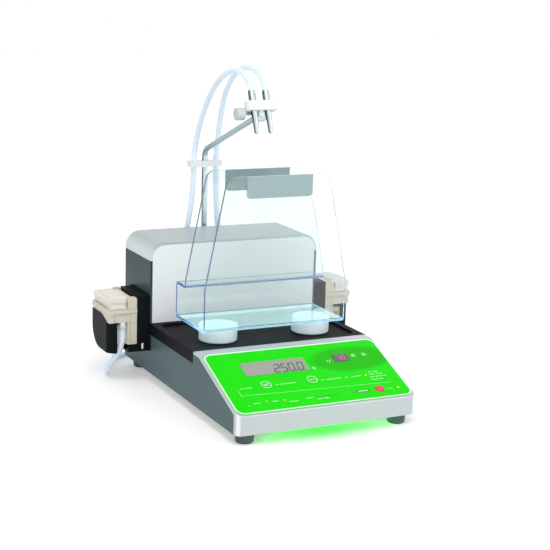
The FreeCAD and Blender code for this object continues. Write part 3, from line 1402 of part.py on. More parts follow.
def make_pumps():
    nodes = []
    for maker in (make_mount, make_head, make_lid, make_guard, make_rotor):
        right = maker()
        nodes += [right, mirrored(right.Label.replace("right", "left"), right)]
    for index in range(ROLLER_COUNT):
        right = make_roller(index)
        nodes += [right, mirrored(right.Label.replace("right", "left"), right)]
    pin = cylinder("hinge_pin_right", dim.hinge_pin, dim.head_depth - 4.2, out(hinge_out), head_y[0] + 2.1,
                   dim.hinge_level, "y")
    motor = make_motor()
    band = make_pump_tube()
    clamps = [make_clamp("clamp_front_right", port_y[0], 1), make_clamp("clamp_rear_right", port_y[1], -1)]
    mount_pin = make_mount_pin()
    nodes.append(group("hinge_pins", pin, mirrored("hinge_pin_left", pin)))
    nodes.append(group("mount_pins", mount_pin, mirrored("mount_pin_left", mount_pin)))
    nodes.append(group("pump_motors", motor, mirrored("motor_left", motor)))
    nodes.append(group("pump_tubes", band, mirrored("pump_tube_left", band)))
    nodes.append(group("tube_clamps", *clamps, *[mirrored(c.Label.replace("right", "left"), c) for c in clamps]))
    return nodes


# Rear and electrics.

def make_inlet():
    """Mains socket and switch housing behind one flange, with three contact pins."""
    body = new_body("power_inlet_housing")
    x = (dim.inlet_x - dim.inlet_width / 2, dim.inlet_x + dim.inlet_width / 2)
    z = (dim.inlet_z - dim.inlet_high / 2, dim.inlet_z + dim.inlet_high / 2)
    padded(body, "XZ", rear_y, rear_y + dim.inlet_proud, rectangle(x, z))
    rounded(body, 3, lambda shape: straight_edges(shape, "y", lambda middle: True))
    gap = 3 + dim.seat
    padded(body, "XZ", rear_y - dim.inlet_deep, rear_y, rectangle(
        (x[0] + gap, x[1] - gap), (z[0] + gap, z[1] - gap)))
    socket = dim.inlet_x - dim.rocker_width / 2 - 2
    pocketed(body, "XZ", rear_y + dim.inlet_proud - dim.socket_deep, rear_y + dim.inlet_proud, rectangle(
        (socket - dim.socket_width / 2, socket + dim.socket_width / 2),
        (dim.inlet_z - dim.socket_high / 2, dim.inlet_z + dim.socket_high / 2)))
    rocker = rocker_x()
    hollow = (dim.rocker_width / 2 + dim.run, dim.rocker_high / 2 + dim.run)
    pocketed(body, "XZ", rear_y + dim.inlet_proud - dim.socket_deep, rear_y + dim.inlet_proud, rectangle(
        (rocker - hollow[0], rocker + hollow[0]), (dim.inlet_z - hollow[1], dim.inlet_z + hollow[1])))
    reach = dim.rocker_width / 2 + dim.rocker_pin + dim.run
    drilled(body, "YZ", rocker - reach, rocker + reach, (rocker_y, dim.inlet_z),
            dim.rocker_pin + dim.shaft_gap)
    pins = []
    for i, (dx, dz) in enumerate(((-7, -2), (0, 2), (7, -2))):
        pin_z = dim.inlet_z + dz
        pins.append(block("inlet_pin_%d" % i, (socket + dx - 1, socket + dx + 1),
                          (rear_y + dim.inlet_proud - dim.socket_deep - 1, rear_y - 1), (pin_z - 2, pin_z + 2)))
    return fuse("power_inlet", body, *pins)


def rocker_x():
    return dim.inlet_x + dim.inlet_width / 2 - 6 - dim.rocker_width / 2


rocker_y = rear_y + dim.inlet_proud - 4


def make_rocker():
    """A rocker with a round back and a flat face; it tilts on two short pivots."""
    start = rocker_x() - dim.rocker_width / 2
    drum = cylinder("rocker_drum", dim.rocker_high / 2 - 0.5, dim.rocker_width, start, rocker_y,
                    dim.inlet_z, "x")
    face = block("rocker_face", (start, start + dim.rocker_width),
                 (rocker_y - dim.rocker_high, rear_y + dim.inlet_proud + dim.rocker_proud),
                 (dim.inlet_z - dim.rocker_high, dim.inlet_z + dim.rocker_high))
    rocker = doc.addObject("Part::Common", "rocker_body")
    rocker.Base = drum
    rocker.Tool = face
    pivots = cylinder("rocker_pivots", dim.rocker_pin, dim.rocker_width + 2 * dim.rocker_pin,
                      start - dim.rocker_pin, rocker_y, dim.inlet_z, "x")
    return fuse("power_switch", rocker, pivots)


def make_supply():
    low = case_low + dim.pan_thick
    rear = inner_rear - dim.inlet_deep - 2
    return block("power_supply", (-dim.supply_width / 2 - 20, dim.supply_width / 2 - 20),
                 (rear - dim.supply_depth, rear), (low, low + dim.supply_high))


def make_light_bar():
    y = back(dim.panel_thick) + 6
    return block("light_bar", (-dim.bar_length / 2, dim.bar_length / 2), (y, y + dim.bar_depth),
                 (case_low - dim.bar_high, case_low))


# Tubes: straight runs joined by tangent arcs. The points are places on each tube's axis.

def tube_path(points):
    """Runs and arcs through the corner points; each arc takes 0.45 of its shorter run."""
    corners = [Vector(*point) for point in points]
    edges = []
    radii = []
    start = corners[0]
    for before, corner, after in zip(corners, corners[1:], corners[2:]):
        arrive = (corner - before).normalize()
        leave = (after - corner).normalize()
        turn = arrive.getAngle(leave)
        reach = 0.45 * min((corner - before).Length, (after - corner).Length)
        radii.append(reach / math.tan(turn / 2))
        first = corner - arrive * reach
        last = corner + leave * reach
        toward = (leave - arrive).normalize()
        middle = corner + toward * (radii[-1] / math.cos(turn / 2) - radii[-1])
        edges.append(Part.LineSegment(start, first).toShape())
        edges.append(Part.Arc(first, middle, last).toShape())
        start = last
    edges.append(Part.LineSegment(start, corners[-1]).toShape())
    return Part.Wire(edges), radii


def make_tube(label, points):
    path, radii = tube_path(points)
    radius = dim.tube_diameter.number / 2
    direction = (Vector(*points[1]) - Vector(*points[0])).normalize()
    profile = Part.Wire(Part.Circle(Vector(*points[0]), direction, radius).toShape())
    solid = path.makePipeShell([profile], True, False)
    expected = math.pi * radius ** 2 * path.Length
    print(label, "length", round(path.Length, 1), "volume ratio", round(solid.Volume / expected, 4),
          "radii", " ".join("%.0f" % value for value in radii))
    obj = doc.addObject("Part::Feature", label)
    obj.Shape = solid
    return obj


def arm_point(x, s, w):
    """A point given along the arm and above its axis, as plain numbers."""
    lean = math.radians(dim.arm_angle.number)
    return (x, mast_y.number - s * math.cos(lean) + w * math.sin(lean),
            dim.mast_bend.number + s * math.sin(lean) + w * math.cos(lean))


def port_point(side, which, z):
    """A point on the axis of a pump's front or rear port."""
    return (side * out(tube_out).number, port_y[which].number, z)


# Free stretch of each delivery tube, from the nozzle down to the pump's rear port.
LEFT_ROUTE = [(-10.2, 31.8, 399.8), (-10.5, 46.5, 406.4), (-10.9, 67.0, 408.8), (-11.5, 93.0, 403.4),
              (-12.1, 118.5, 391.6), (-12.9, 150.0, 364.0), (-14.2, 176.0, 324.0), (-15.4, 188.0, 291.0)]
RIGHT_ROUTE = [(10.2, 31.6, 400.4), (10.6, 47.0, 408.6), (11.4, 72.0, 412.2), (12.2, 99.0, 409.2),
               (13.0, 125.0, 397.8), (14.2, 155.0, 372.0), (15.4, 172.5, 334.0), (15.9, 182.0, 298.0)]
REAR_ROUTE = [(18.0, 188.5, 215.0), (26.0, 195.0, 160.0), (40.0, 201.0, 112.0), (66.0, 205.0, 74.0),
              (98.0, 206.0, 46.0), (130.0, 194.0, 34.0), (152.0, 170.0, 38.0), (158.0, 148.0, 56.0)]


def delivery_points(side, route):
    x = side * dim.nozzle_spacing.number / 2
    comb_x = side * dim.comb_spacing.number / 2
    comb_z = dim.comb_level.number + dim.comb_high.number / 2
    points = [arm_point(x, block_mid.number, tube_start.number + 0.05)]
    points.append(arm_point(x, block_mid.number, block_top.number + dim.sleeve_high.number + 3))
    points += route
    points.append((comb_x, mast_y.number, comb_z))
    points += [(side * x, y, z) for x, y, z in REAR_ROUTE]
    points.append(port_point(side, 1, 70))
    points.append(port_point(side, 1, dim.chamber_low.number + 2))
    return points


# Supply tube of the left pump: out of its front port, down to the table, and round to the coil.
SUPPLY_ROUTE = [(-158.0, 85.0, 50.0), (-163.5, 92.0, 36.0), (-166.5, 106.0, 22.0), (-164.0, 128.0, 4.0),
                (-152.0, 158.0, 4.0), (-134.0, 186.0, 4.0), (-110.0, 204.0, 4.0), (-80.0, 210.0, 4.0)]
COIL_CENTRE = (-20.0, 262.0)
COIL_RADIUS = 52.0
LEAD_LENGTH = 30.0
TAIL_LENGTH = 46.0


def supply_points():
    points = [port_point(-1, 0, dim.chamber_low.number + 2), port_point(-1, 0, 66)]
    points += SUPPLY_ROUTE
    points.append((COIL_CENTRE[0] - LEAD_LENGTH, COIL_CENTRE[1] - COIL_RADIUS, dim.tube_diameter.number / 2))
    return points


def make_coil():
    """The outer shape of the tube's put-away turns, with the straight ends that meet them."""
    tube = dim.tube_diameter.number
    inner = COIL_RADIUS - 1.5 * tube
    outer = COIL_RADIUS + 0.5 * tube
    high = tube * 1.87
    profile = Part.makePolygon([Vector(inner, 0, 0), Vector(outer, 0, 0), Vector(outer, 0, tube),
                                Vector(outer - tube / 2, 0, high), Vector(inner + tube / 2, 0, high),
                                Vector(inner, 0, tube), Vector(inner, 0, 0)])
    ring = Part.Face(profile).revolve(Vector(0, 0, 0), Vector(0, 0, 1), 360)
    tail = Part.makeCylinder(tube / 2, TAIL_LENGTH, Vector(0, COIL_RADIUS, tube / 2), Vector(-1, 0, 0))
    lead = Part.makeCylinder(tube / 2, LEAD_LENGTH, Vector(-LEAD_LENGTH, -COIL_RADIUS, tube / 2),
                             Vector(1, 0, 0))
    coil = ring.fuse([tail, lead]).removeSplitter()
    coil.translate(Vector(COIL_CENTRE[0], COIL_CENTRE[1], 0))
    obj = doc.addObject("Part::Feature", "supply_coil")
    obj.Shape = coil
    return obj


def make_connector():
    """The quick connector on the tube's end: a collar over the tube, a grip and a tip."""
    end = COIL_CENTRE[0] - TAIL_LENGTH - dim.seat
    y = COIL_CENTRE[1] + COIL_RADIUS
    radius = dim.tube_diameter / 2
    grip = cylinder("connector_grip", radius, dim.grip_length, end - dim.grip_length, y, radius, "x")
    tip = cylinder("connector_tip", dim.tip_radius, dim.grip_length + dim.tip_length,
                   end - dim.grip_length - dim.tip_length, y, radius, "x")
    return fuse("supply_connector", grip, tip)


right_panel = make_side_panel()
nodes = [
    make_base_pan(),
    right_panel,
    mirrored("left_side_panel", right_panel),
    make_front_cover(),
    make_membrane(),
    *[make_display(*window) for window in windows()],
    make_board(),
    make_tray(),
    make_hood(),
    tower_wall("tower_front_panel", (back(dim.tower_front), back(dim.tower_front) + dim.panel_thick),
               skirt_low + 1),
    make_rear_panel(),
    make_feet(),
    make_screws(),
    make_load_cell(),
    make_beam(),
    make_pads(),
    make_holder(),
    make_clips(),
    make_mast(),
    make_bracket(),
    make_comb(),
    make_nozzle_block(),
    make_knob(),
    make_nozzles(),
    make_inlet(),
    make_rocker(),
    make_supply(),
    make_light_bar(),
    make_tube("delivery_tube_left", delivery_points(-1, LEFT_ROUTE)),
    make_tube("delivery_tube_right", delivery_points(1, RIGHT_ROUTE)),
    make_tube("supply_tube", supply_points()),
    make_coil(),
    make_connector(),
]
nodes += [make_key(*key) for key in keys()]
nodes += make_pumps()
doc.recompute()

for obj in doc.Objects:
    if "Invalid" in obj.State or "Error" in obj.State:
        raise RuntimeError("%s failed: %s" % (obj.Label, obj.State))
    if obj.TypeId == "PartDesign::Pocket":
        before, after = obj.BaseFeature.Shape.Volume, obj.Shape.Volume
        if after >= before - 1e-6:
            raise RuntimeError("%s cuts nothing" % obj.Label)
for node in nodes:
    if node.Shape.isNull() or not node.Shape.isValid() or not node.Shape.Solids:
        raise RuntimeError("%s has no valid solid" % node.Label)

os.makedirs("parts", exist_ok=True)
for node in nodes:
    node.Shape.exportStep("parts/%s.step" % node.Label)
print(len(nodes), "nodes")
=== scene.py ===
import math
import bpy
import numpy as np
from mathutils import Matrix, Vector


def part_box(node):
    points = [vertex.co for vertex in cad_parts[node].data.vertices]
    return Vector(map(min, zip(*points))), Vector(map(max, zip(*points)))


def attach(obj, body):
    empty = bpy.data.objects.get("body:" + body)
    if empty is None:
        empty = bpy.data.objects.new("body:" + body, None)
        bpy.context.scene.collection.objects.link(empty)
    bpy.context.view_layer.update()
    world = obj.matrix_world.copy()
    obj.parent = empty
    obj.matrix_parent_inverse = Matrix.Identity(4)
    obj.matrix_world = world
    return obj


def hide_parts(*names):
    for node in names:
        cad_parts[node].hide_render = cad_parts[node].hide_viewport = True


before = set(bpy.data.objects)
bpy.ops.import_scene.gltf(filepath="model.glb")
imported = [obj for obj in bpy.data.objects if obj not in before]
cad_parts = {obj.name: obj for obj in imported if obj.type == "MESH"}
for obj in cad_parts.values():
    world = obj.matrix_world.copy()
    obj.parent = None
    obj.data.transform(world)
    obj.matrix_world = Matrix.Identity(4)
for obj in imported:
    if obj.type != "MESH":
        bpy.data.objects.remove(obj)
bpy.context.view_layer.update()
MM = 0.001

# Camera.
# It stands where the photograph was taken, worked out from the machine's straight edges.
# Angles are in degrees; the focal length is in pixels of a picture 550 pixels wide.

CAMERA_SPOT = (-0.7654, -1.5857, 0.5431)
CAMERA_YAW = 26.365
CAMERA_PITCH = 12.476
CAMERA_ROLL = 1.699
FOCAL_PIXELS = 1407.25
PICTURE_PIXELS = 550


def camera_axes():
    yaw, pitch, roll = (math.radians(a) for a in (CAMERA_YAW, CAMERA_PITCH, CAMERA_ROLL))
    forward = Vector((math.sin(yaw) * math.cos(pitch), math.cos(yaw) * math.cos(pitch), -math.sin(pitch)))
    level = Vector((math.cos(yaw), -math.sin(yaw), 0))
    raised = level.cross(forward)
    right = level * math.cos(roll) + raised * math.sin(roll)
    up = raised * math.cos(roll) - level * math.sin(roll)
    return right, up, forward


def add_camera():
    data = bpy.data.cameras.new("camera")
    data.sensor_width = 36
    data.lens = FOCAL_PIXELS / PICTURE_PIXELS * data.sensor_width
    camera = bpy.data.objects.new("camera", data)
    bpy.context.collection.objects.link(camera)
    right, up, forward = camera_axes()
    turn = Matrix((right, up, -forward)).transposed().to_4x4()
    camera.matrix_world = Matrix.Translation(CAMERA_SPOT) @ turn
    bpy.context.scene.camera = camera


add_camera()

# Base pan, its screws and the hinge pins.
# Zinc-plated steel: the pan is folded up at its edges and closes the case from below.
# The plating shows broad grey flowers; the small turned parts are plainer.

BROAD_SCALE = 14
BUMP_DEPTH = 0.0002


def new_material(name):
    material = bpy.data.materials.new(name)
    material.use_nodes = True
    nodes = material.node_tree.nodes
    nodes.clear()
    output = nodes.new("ShaderNodeOutputMaterial")
    shader = nodes.new("ShaderNodeBsdfPrincipled")
    material.node_tree.links.new(shader.outputs["BSDF"], output.inputs["Surface"])
    return material, shader


def math_node(tree, operation, first, second):
    """One Math node; each input is a number or another node's output."""
    node = tree.nodes.new("ShaderNodeMath")
    node.operation = operation
    for socket, value in zip(node.inputs, (first, second)):
        if isinstance(value, (int, float)):
            socket.default_value = value
        else:
            tree.links.new(value, socket)
    return node.outputs[0]


def vector_node(tree, operation, first, second=None):
    """One Vector Math node; each input is a vector, another node's output, or left out."""
    node = tree.nodes.new("ShaderNodeVectorMath")
    node.operation = operation
    for socket, value in zip(node.inputs, (first, second)):
        if isinstance(value, bpy.types.NodeSocket):
            tree.links.new(value, socket)
        elif value is not None:
            socket.default_value = value
    return node.outputs["Value" if operation in ("LENGTH", "DOT_PRODUCT") else "Vector"]


def grain_group():
    """Fine and broad noise, added, shift a colour and a roughness; the fine one gives a bump."""
    group = bpy.data.node_groups.new("surface_grain", "ShaderNodeTree")
    face = group.interface
    for name, kind, value in (("Color", "NodeSocketColor", (0.5, 0.5, 0.5, 1)),
                              ("Roughness", "NodeSocketFloat", 0.4),
                              ("Scale", "NodeSocketFloat", 900.0),
                              ("Stretch", "NodeSocketVector", (1, 1, 1)),
                              ("Mottle", "NodeSocketFloat", 0.04),
                              ("Bump", "NodeSocketFloat", 0.05)):
        socket = face.new_socket(name=name, in_out="INPUT", socket_type=kind)
        socket.default_value = value
    face.new_socket(name="Color", in_out="OUTPUT", socket_type="NodeSocketColor")
    face.new_socket(name="Roughness", in_out="OUTPUT", socket_type="NodeSocketFloat")
    face.new_socket(name="Normal", in_out="OUTPUT", socket_type="NodeSocketVector")
    nodes, links = group.nodes, group.links
    given = nodes.new("NodeGroupInput")
    result = nodes.new("NodeGroupOutput")
    place = nodes.new("ShaderNodeTexCoord")
    stretched = vector_node(group, "MULTIPLY", place.outputs["Object"], given.outputs["Stretch"])
    fine = nodes.new("ShaderNodeTexNoise")
    fine.inputs["Detail"].default_value = 3
    links.new(stretched, fine.inputs["Vector"])
    links.new(given.outputs["Scale"], fine.inputs["Scale"])
    broad = nodes.new("ShaderNodeTexNoise")
    broad.inputs["Scale"].default_value = BROAD_SCALE
    broad.inputs["Detail"].default_value = 4
    links.new(place.outputs["Object"], broad.inputs["Vector"])
    both = math_node(group, "ADD", fine.outputs["Fac"], broad.outputs["Fac"])
    amount = math_node(group, "MULTIPLY", math_node(group, "SUBTRACT", both, 1.0), given.outputs["Mottle"])
    tint = nodes.new("ShaderNodeVectorMath")
    tint.operation = "SCALE"
    links.new(given.outputs["Color"], tint.inputs[0])
    links.new(math_node(group, "ADD", amount, 1.0), tint.inputs["Scale"])
    links.new(tint.outputs[0], result.inputs["Color"])
    links.new(math_node(group, "ADD", given.outputs["Roughness"], amount), result.inputs["Roughness"])
    bump = nodes.new("ShaderNodeBump")
    bump.inputs["Distance"].default_value = BUMP_DEPTH
    links.new(given.outputs["Bump"], bump.inputs["Strength"])
    links.new(fine.outputs["Fac"], bump.inputs["Height"])
    links.new(bump.outputs["Normal"], result.inputs["Normal"])
    return group


GRAIN = grain_group()


def surface(name, color, roughness, grain, **sockets):
    """A finish whose colour, roughness and bump come from the grain group.

    grain holds the group's Scale, Mottle, Bump and, where brushed, Stretch. Other named
    sockets are set on the shader itself."""
    material, shader = new_material(name)
    tree = material.node_tree
    node = tree.nodes.new("ShaderNodeGroup")
    node.name = "grain"
    node.node_tree = GRAIN
    node.inputs["Color"].default_value = (*color, 1)
    node.inputs["Roughness"].default_value = roughness
    for socket, value in grain.items():
        node.inputs[socket].default_value = value
    tree.links.new(node.outputs["Color"], shader.inputs["Base Color"])
    tree.links.new(node.outputs["Roughness"], shader.inputs["Roughness"])
    tree.links.new(node.outputs["Normal"], shader.inputs["Normal"])
    for socket, value in sockets.items():
        shader.inputs[socket.replace("_", " ")].default_value = value
    return material


def dress(material, *names):
    """Give CAD nodes their finish."""
    for name in names:
        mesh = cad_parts[name].data
        mesh.materials.clear()
        mesh.materials.append(material)


dress(surface("zinc_sheet", (0.55, 0.56, 0.57), 0.35, {"Scale": 120, "Mottle": 0.3, "Bump": 0.05},
              Metallic=0.9), "base_pan")
turned_zinc = surface("turned_zinc", (0.62, 0.62, 0.60), 0.28, {"Scale": 800, "Mottle": 0.15, "Bump": 0.05},
                      Metallic=1.0)
dress(turned_zinc, "case_screws", "hinge_pins")

# Rubber feet.
# Four soft moulded feet, screwed under the pan; dull, with a fine pitted skin.

dress(surface("foot_rubber", (0.080, 0.108, 0.112), 0.55, {"Scale": 1500, "Mottle": 0.25, "Bump": 0.3},
              Specular_IOR_Level=0.35), "rubber_feet")

# Side panels and rear panel.
# Folded sheet with a satin blue-grey paint. Its colour carries painted shade: darker up on the tower than low
# down, where a painted reflection stands in for the light the sides pick up from the table.

SIDE_LIT_LOW_COLOR = (0.072, 0.128, 0.142, 1)
SIDE_SHADED_HIGH_COLOR = (0.014, 0.032, 0.038, 1)
SIDE_SHADE_BLEND = (0.055, 0.170)
PAINT_GRAIN = {"Scale": 2600, "Mottle": 0.08, "Bump": 0.12}


def blend_colors(tree, share, first, second):
    """A mix of two colours, each given as values or as another node's output."""
    mix = tree.nodes.new("ShaderNodeMix")
    mix.data_type = "RGBA"
    for name, value in (("A", first), ("B", second)):
        if isinstance(value, bpy.types.NodeSocket):
            tree.links.new(value, mix.inputs[name])
        else:
            mix.inputs[name].default_value = value
    tree.links.new(share, mix.inputs["Factor"])
    return mix.outputs["Result"]


def ramp(tree, value, start, end=(0, 1), kind="SMOOTHSTEP"):
    """Goes from one end to the other as the value goes through start, and stays there."""
    node = tree.nodes.new("ShaderNodeMapRange")
    node.interpolation_type = kind
    node.inputs["From Min"].default_value, node.inputs["From Max"].default_value = start
    node.inputs["To Min"].default_value, node.inputs["To Max"].default_value = end
    tree.links.new(value, node.inputs["Value"])
    return node.outputs["Result"]


def axis_parts(tree, vector):
    parts = tree.nodes.new("ShaderNodeSeparateXYZ")
    tree.links.new(vector, parts.inputs[0])
    return parts.outputs


def rise_mask(tree, low, high):
    """Goes from 0 to 1 as the place on the piece rises from low to high."""
    place = tree.nodes.new("ShaderNodeTexCoord")
    return ramp(tree, axis_parts(tree, place.outputs["Object"])["Z"], (low, high))


# Painted shade and reflection: the colour blends by height from the lit low colour to the shaded high one.
side_paint = surface("side_paint", SIDE_LIT_LOW_COLOR[:3], 0.42, PAINT_GRAIN, Specular_IOR_Level=0.22)
side_tree = side_paint.node_tree
side_lit_and_shaded = blend_colors(side_tree, rise_mask(side_tree, *SIDE_SHADE_BLEND), SIDE_LIT_LOW_COLOR, SIDE_SHADED_HIGH_COLOR)
side_tree.links.new(side_lit_and_shaded, side_tree.nodes["grain"].inputs["Color"])
dress(side_paint, "left_side_panel", "right_side_panel", "rear_panel")

# Tray cover.
# Black moulded plastic with a fine spark-eroded texture; it drips off the front and sides.

dress(surface("tray_plastic", (0.010, 0.008, 0.011), 0.50, {"Scale": 1800, "Mottle": 0.2, "Bump": 0.3},
              Specular_IOR_Level=0.05), "tray_cover")

# Front cover.
# One moulding in satin silver lacquer, brushed from side to side. A painted highlight makes it brighter where
# the front turns round its two upright corners.

SILVER = (0.52, 0.575, 0.585, 1)
SILVER_PAINTED_HIGHLIGHT = (0.86, 0.90, 0.905, 1)
HIGHLIGHT_TURN = (0.30, 0.62)

silver = surface("silver_lacquer", SILVER[:3], 0.30,
                 {"Scale": 2400, "Stretch": (0.03, 1, 1), "Mottle": 0.07, "Bump": 0.04},
                 Metallic=0.25, Coat_Weight=0.25, Coat_Roughness=0.2)
silver_tree = silver.node_tree
# Painted highlight at the upright corners, where the normal looks both across and forward.
facing = axis_parts(silver_tree, silver_tree.nodes.new("ShaderNodeTexCoord").outputs["Normal"])
both_ways = math_node(silver_tree, "MINIMUM", math_node(silver_tree, "ABSOLUTE", facing["X"], 0.0),
                      math_node(silver_tree, "ABSOLUTE", facing["Y"], 0.0))
highlight_share = ramp(silver_tree, both_ways, HIGHLIGHT_TURN)
silver_tree.links.new(blend_colors(silver_tree, highlight_share, SILVER, SILVER_PAINTED_HIGHLIGHT),
                      silver_tree.nodes["grain"].inputs["Color"])
dress(silver, "front_cover")

# Keypad film.
# Polyester film, printed green on its back and glued to the sloped deck. A darker field in
# the shape of a lens lies behind the small display.

NOSE_HEIGHT = 36.5
DECK_RUN = 113.5
FILM_THICK = 1.0
FILM_COLOR = (0.010, 0.760, 0.0, 1)
FIELD_COLOR = (0.016, 0.520, 0.0, 1)
FIELD_MIDDLE = (69.0, 83.0)
FIELD_RADII = (60.0, 24.0)
FIELD_EDGE = (0.80, 1.04)

cover_low, cover_high = (np.array(corner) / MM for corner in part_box("front_cover"))
DECK_FRONT = cover_low[1]
DECK_ANGLE = math.atan2(cover_high[2] - NOSE_HEIGHT, DECK_RUN)


def on_deck(points):
    """World places of points given across, up the slope from the deck's front edge, and
    above the cover: each is the front edge plus its distances along the deck's three axes."""
    points = np.asarray(points, float)
    slope, rise = math.cos(DECK_ANGLE), math.sin(DECK_ANGLE)
    axes = np.array([[1, 0, 0], [0, slope, rise], [0, -rise, slope]])
    return (np.array([0, DECK_FRONT, NOSE_HEIGHT]) + points @ axes) * MM


def ellipse_reach(tree, middle, radii):
    """1 on an upright wall over an ellipse and less inside it: the length of the level offset
    from its middle, with each axis divided by its radius."""
    place = tree.nodes.new("ShaderNodeTexCoord")
    offset = vector_node(tree, "SUBTRACT", place.outputs["Object"], tuple(middle))
    shares = (1 / (radii[0] * MM), 1 / (radii[1] * MM), 0)
    return vector_node(tree, "LENGTH", vector_node(tree, "MULTIPLY", offset, shares))


film = surface("keypad_film", FILM_COLOR[:3], 0.38, {"Scale": 1200, "Mottle": 0.03, "Bump": 0.03},
               Specular_IOR_Level=0.12)
film_tree = film.node_tree
field_reach = ellipse_reach(film_tree, on_deck([(*FIELD_MIDDLE, 0)])[0], FIELD_RADII)
film_color = blend_colors(film_tree, ramp(film_tree, field_reach, FIELD_EDGE, kind="LINEAR"),
                          FIELD_COLOR, FILM_COLOR)
film_tree.links.new(film_color, film_tree.nodes["grain"].inputs["Color"])
dress(film, "keypad_membrane")

# Print on the film, and a painted highlight round its edge. The white band round the border is that painted
# highlight; white ink gives lines between the rows and short bars where labels stand. Dark green ink lies
# under the lamps and behind one label.

INK_THICK = 0.06
BORDER = {"x": 116.7, "low": 3.5, "high": 118.6, "radius": 10.0, "width": 1.7}
LABEL_HIGH = 1.3
WORD_GAP = 1.5
ROW_LINE = [(-99.6, 48.3), (-99.4, 35.6), (98.0, 29.6)]
BLOCK_LINES = [((78.5, 53.0), (5, 7)), ((77.5, 48.4), (8, 3, 5)), ((77.0, 43.6), (6, 9, 4)),
               ((76.0, 38.4), (9, 6))]
LABELS = [((-96.0, 48.6), (4, 10)), ((-48.8, 49.2), (3, 1, 20)), ((11.5, 48.0), (3, 1, 20)),
          ((44.0, 48.0), (4,)), ((53.0, 48.0), (3, 9)), ((-98.5, 17.0), (1.5,)), ((-91.5, 19.5), (9,)),
          ((-67.0, 19.6), (8,)), ((-46.0, 15.6), (12,)), ((-22.5, 18.2), (9,)), ((-9.0, 14.4), (6, 8)),
          ((35.0, 20.0), (1.5,)), ((88.5, 18.0), (2.2, 2.2)), *BLOCK_LINES]
ROW_LINE_WIDTH = 0.5
LABEL_BAND = ([(43.0, 19.4), (64.5, 19.2)], 5.2)
LAMP_BAND = ([(-8.0, 18.6), (22.0, 17.8)], 1.5)
LABEL_ON_BAND = ((48.0, 19.2), (13,), 1.6)
INK_SUNK = INK_THICK / 3


def ribbon(path, width, closed=False):
    """A flat bar along a path: its sides lie half the width to the left and the right of
    each point, along the mitre of the two runs that meet there."""
    path = np.asarray(path, float)
    if closed:
        ahead = np.roll(path, -1, axis=0) - path
        behind = path - np.roll(path, 1, axis=0)
    else:
        steps = np.diff(path, axis=0)
        ahead = np.vstack([steps, steps[-1:]])
        behind = np.vstack([steps[:1], steps])
    ahead = ahead / np.linalg.norm(ahead, axis=1, keepdims=True)
    behind = behind / np.linalg.norm(behind, axis=1, keepdims=True)
    along = ahead + behind
    along /= np.linalg.norm(along, axis=1, keepdims=True)
    reach = width / 2 / np.sum(along * ahead, axis=1, keepdims=True)
    across = np.stack([-along[:, 1], along[:, 0]], axis=1) * reach
    return path + across, path - across, closed


def thick_ribbon(bar, low, high):
    """Points and faces of a ribbon with a four-cornered section, capped where it is open."""
    left, right, closed = bar
    count = len(left)
    section = [(left, low), (left, high), (right, high), (right, low)]
    points = np.stack([np.column_stack([side, np.full(count, lift)]) for side, lift in section], axis=1)
    here = np.arange(count if closed else count - 1)
    corner = np.arange(4)
    first, start = np.meshgrid(corner, here)
    second, after = (first + 1) % 4, (start + 1) % count
    faces = np.stack([start * 4 + first, start * 4 + second, after * 4 + second, after * 4 + first], axis=-1)
    faces = faces.reshape(-1, 4)
    if not closed:
        last = (count - 1) * 4
        faces = np.vstack([faces, [[0, 3, 2, 1], [last, last + 1, last + 2, last + 3]]])
    return points.reshape(-1, 3), faces


def joined(solids):
    """Several points-and-faces pairs as one, each one's faces shifted past the points before."""
    shifts = np.cumsum([0] + [len(points) for points, _ in solids[:-1]])
    faces = [[int(corner + shift) for corner in face]
             for shift, (_, part) in zip(shifts, solids) for face in part]
    return np.vstack([points for points, _ in solids]), faces


def add_piece(name, points, faces, material, body, slot, smooth=False):
    mesh = bpy.data.meshes.new(name)
    mesh.from_pydata(np.asarray(points).tolist(), [], [list(face) for face in faces])
    mesh.materials.append(material)
    mesh.polygons.foreach_set("use_smooth", np.full(len(mesh.polygons), smooth))
    mesh.update()
    piece = bpy.data.objects.new(name, mesh)
    bpy.context.collection.objects.link(piece)
    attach(piece, body)
    return piece


def add_marks(name, bars, base, material, body="machine", slot="clip_white", thick=INK_THICK):
    """Ribbons on the deck, each from just inside the face that carries it to the ink's top."""
    points, faces = joined([thick_ribbon(bar, base - INK_SUNK, base + thick) for bar in bars])
    return add_piece(name, on_deck(points), faces, material, body, slot)


def ring(middle, radius, width, steps=40):
    turn = np.linspace(0, 2 * math.pi, steps, endpoint=False)
    return ribbon(np.column_stack([middle[0] + radius * np.cos(turn), middle[1] + radius * np.sin(turn)]),
                  width, True)


def rounded_frame(half_width, low, high, radius, width, steps=8):
    """A closed ribbon round a rectangle whose corners are quarter circles."""
    turn = np.radians(np.linspace(0, 90, steps))
    arc = np.column_stack([np.cos(turn), np.sin(turn)]) * radius
    quarters = [((1, 1), arc), ((-1, 1), arc[::-1]), ((-1, -1), arc), ((1, -1), arc[::-1])]
    middle = (low + high) / 2
    reach = np.array([half_width - radius, (high - low) / 2 - radius])
    path = [(reach + part) * sign + (0, middle) for sign, part in quarters]
    return ribbon(np.vstack(path), width, True)


def words(start, lengths, high=LABEL_HIGH):
    """A row of short bars, as long as given, one after another from the start."""
    starts = np.cumsum([0] + [length + WORD_GAP for length in lengths[:-1]]) + start[0]
    return [ribbon([(x, start[1]), (x + length, start[1])], high) for x, length in zip(starts, lengths)]


KEY_SPOTS = {"tare_key": (-61.5, 50.5), "mode_key": (0.0, 50.5), "down_key": (75.0, 88.0),
             "up_key": (90.0, 88.0), "start_key": (77.5, 19.5)}

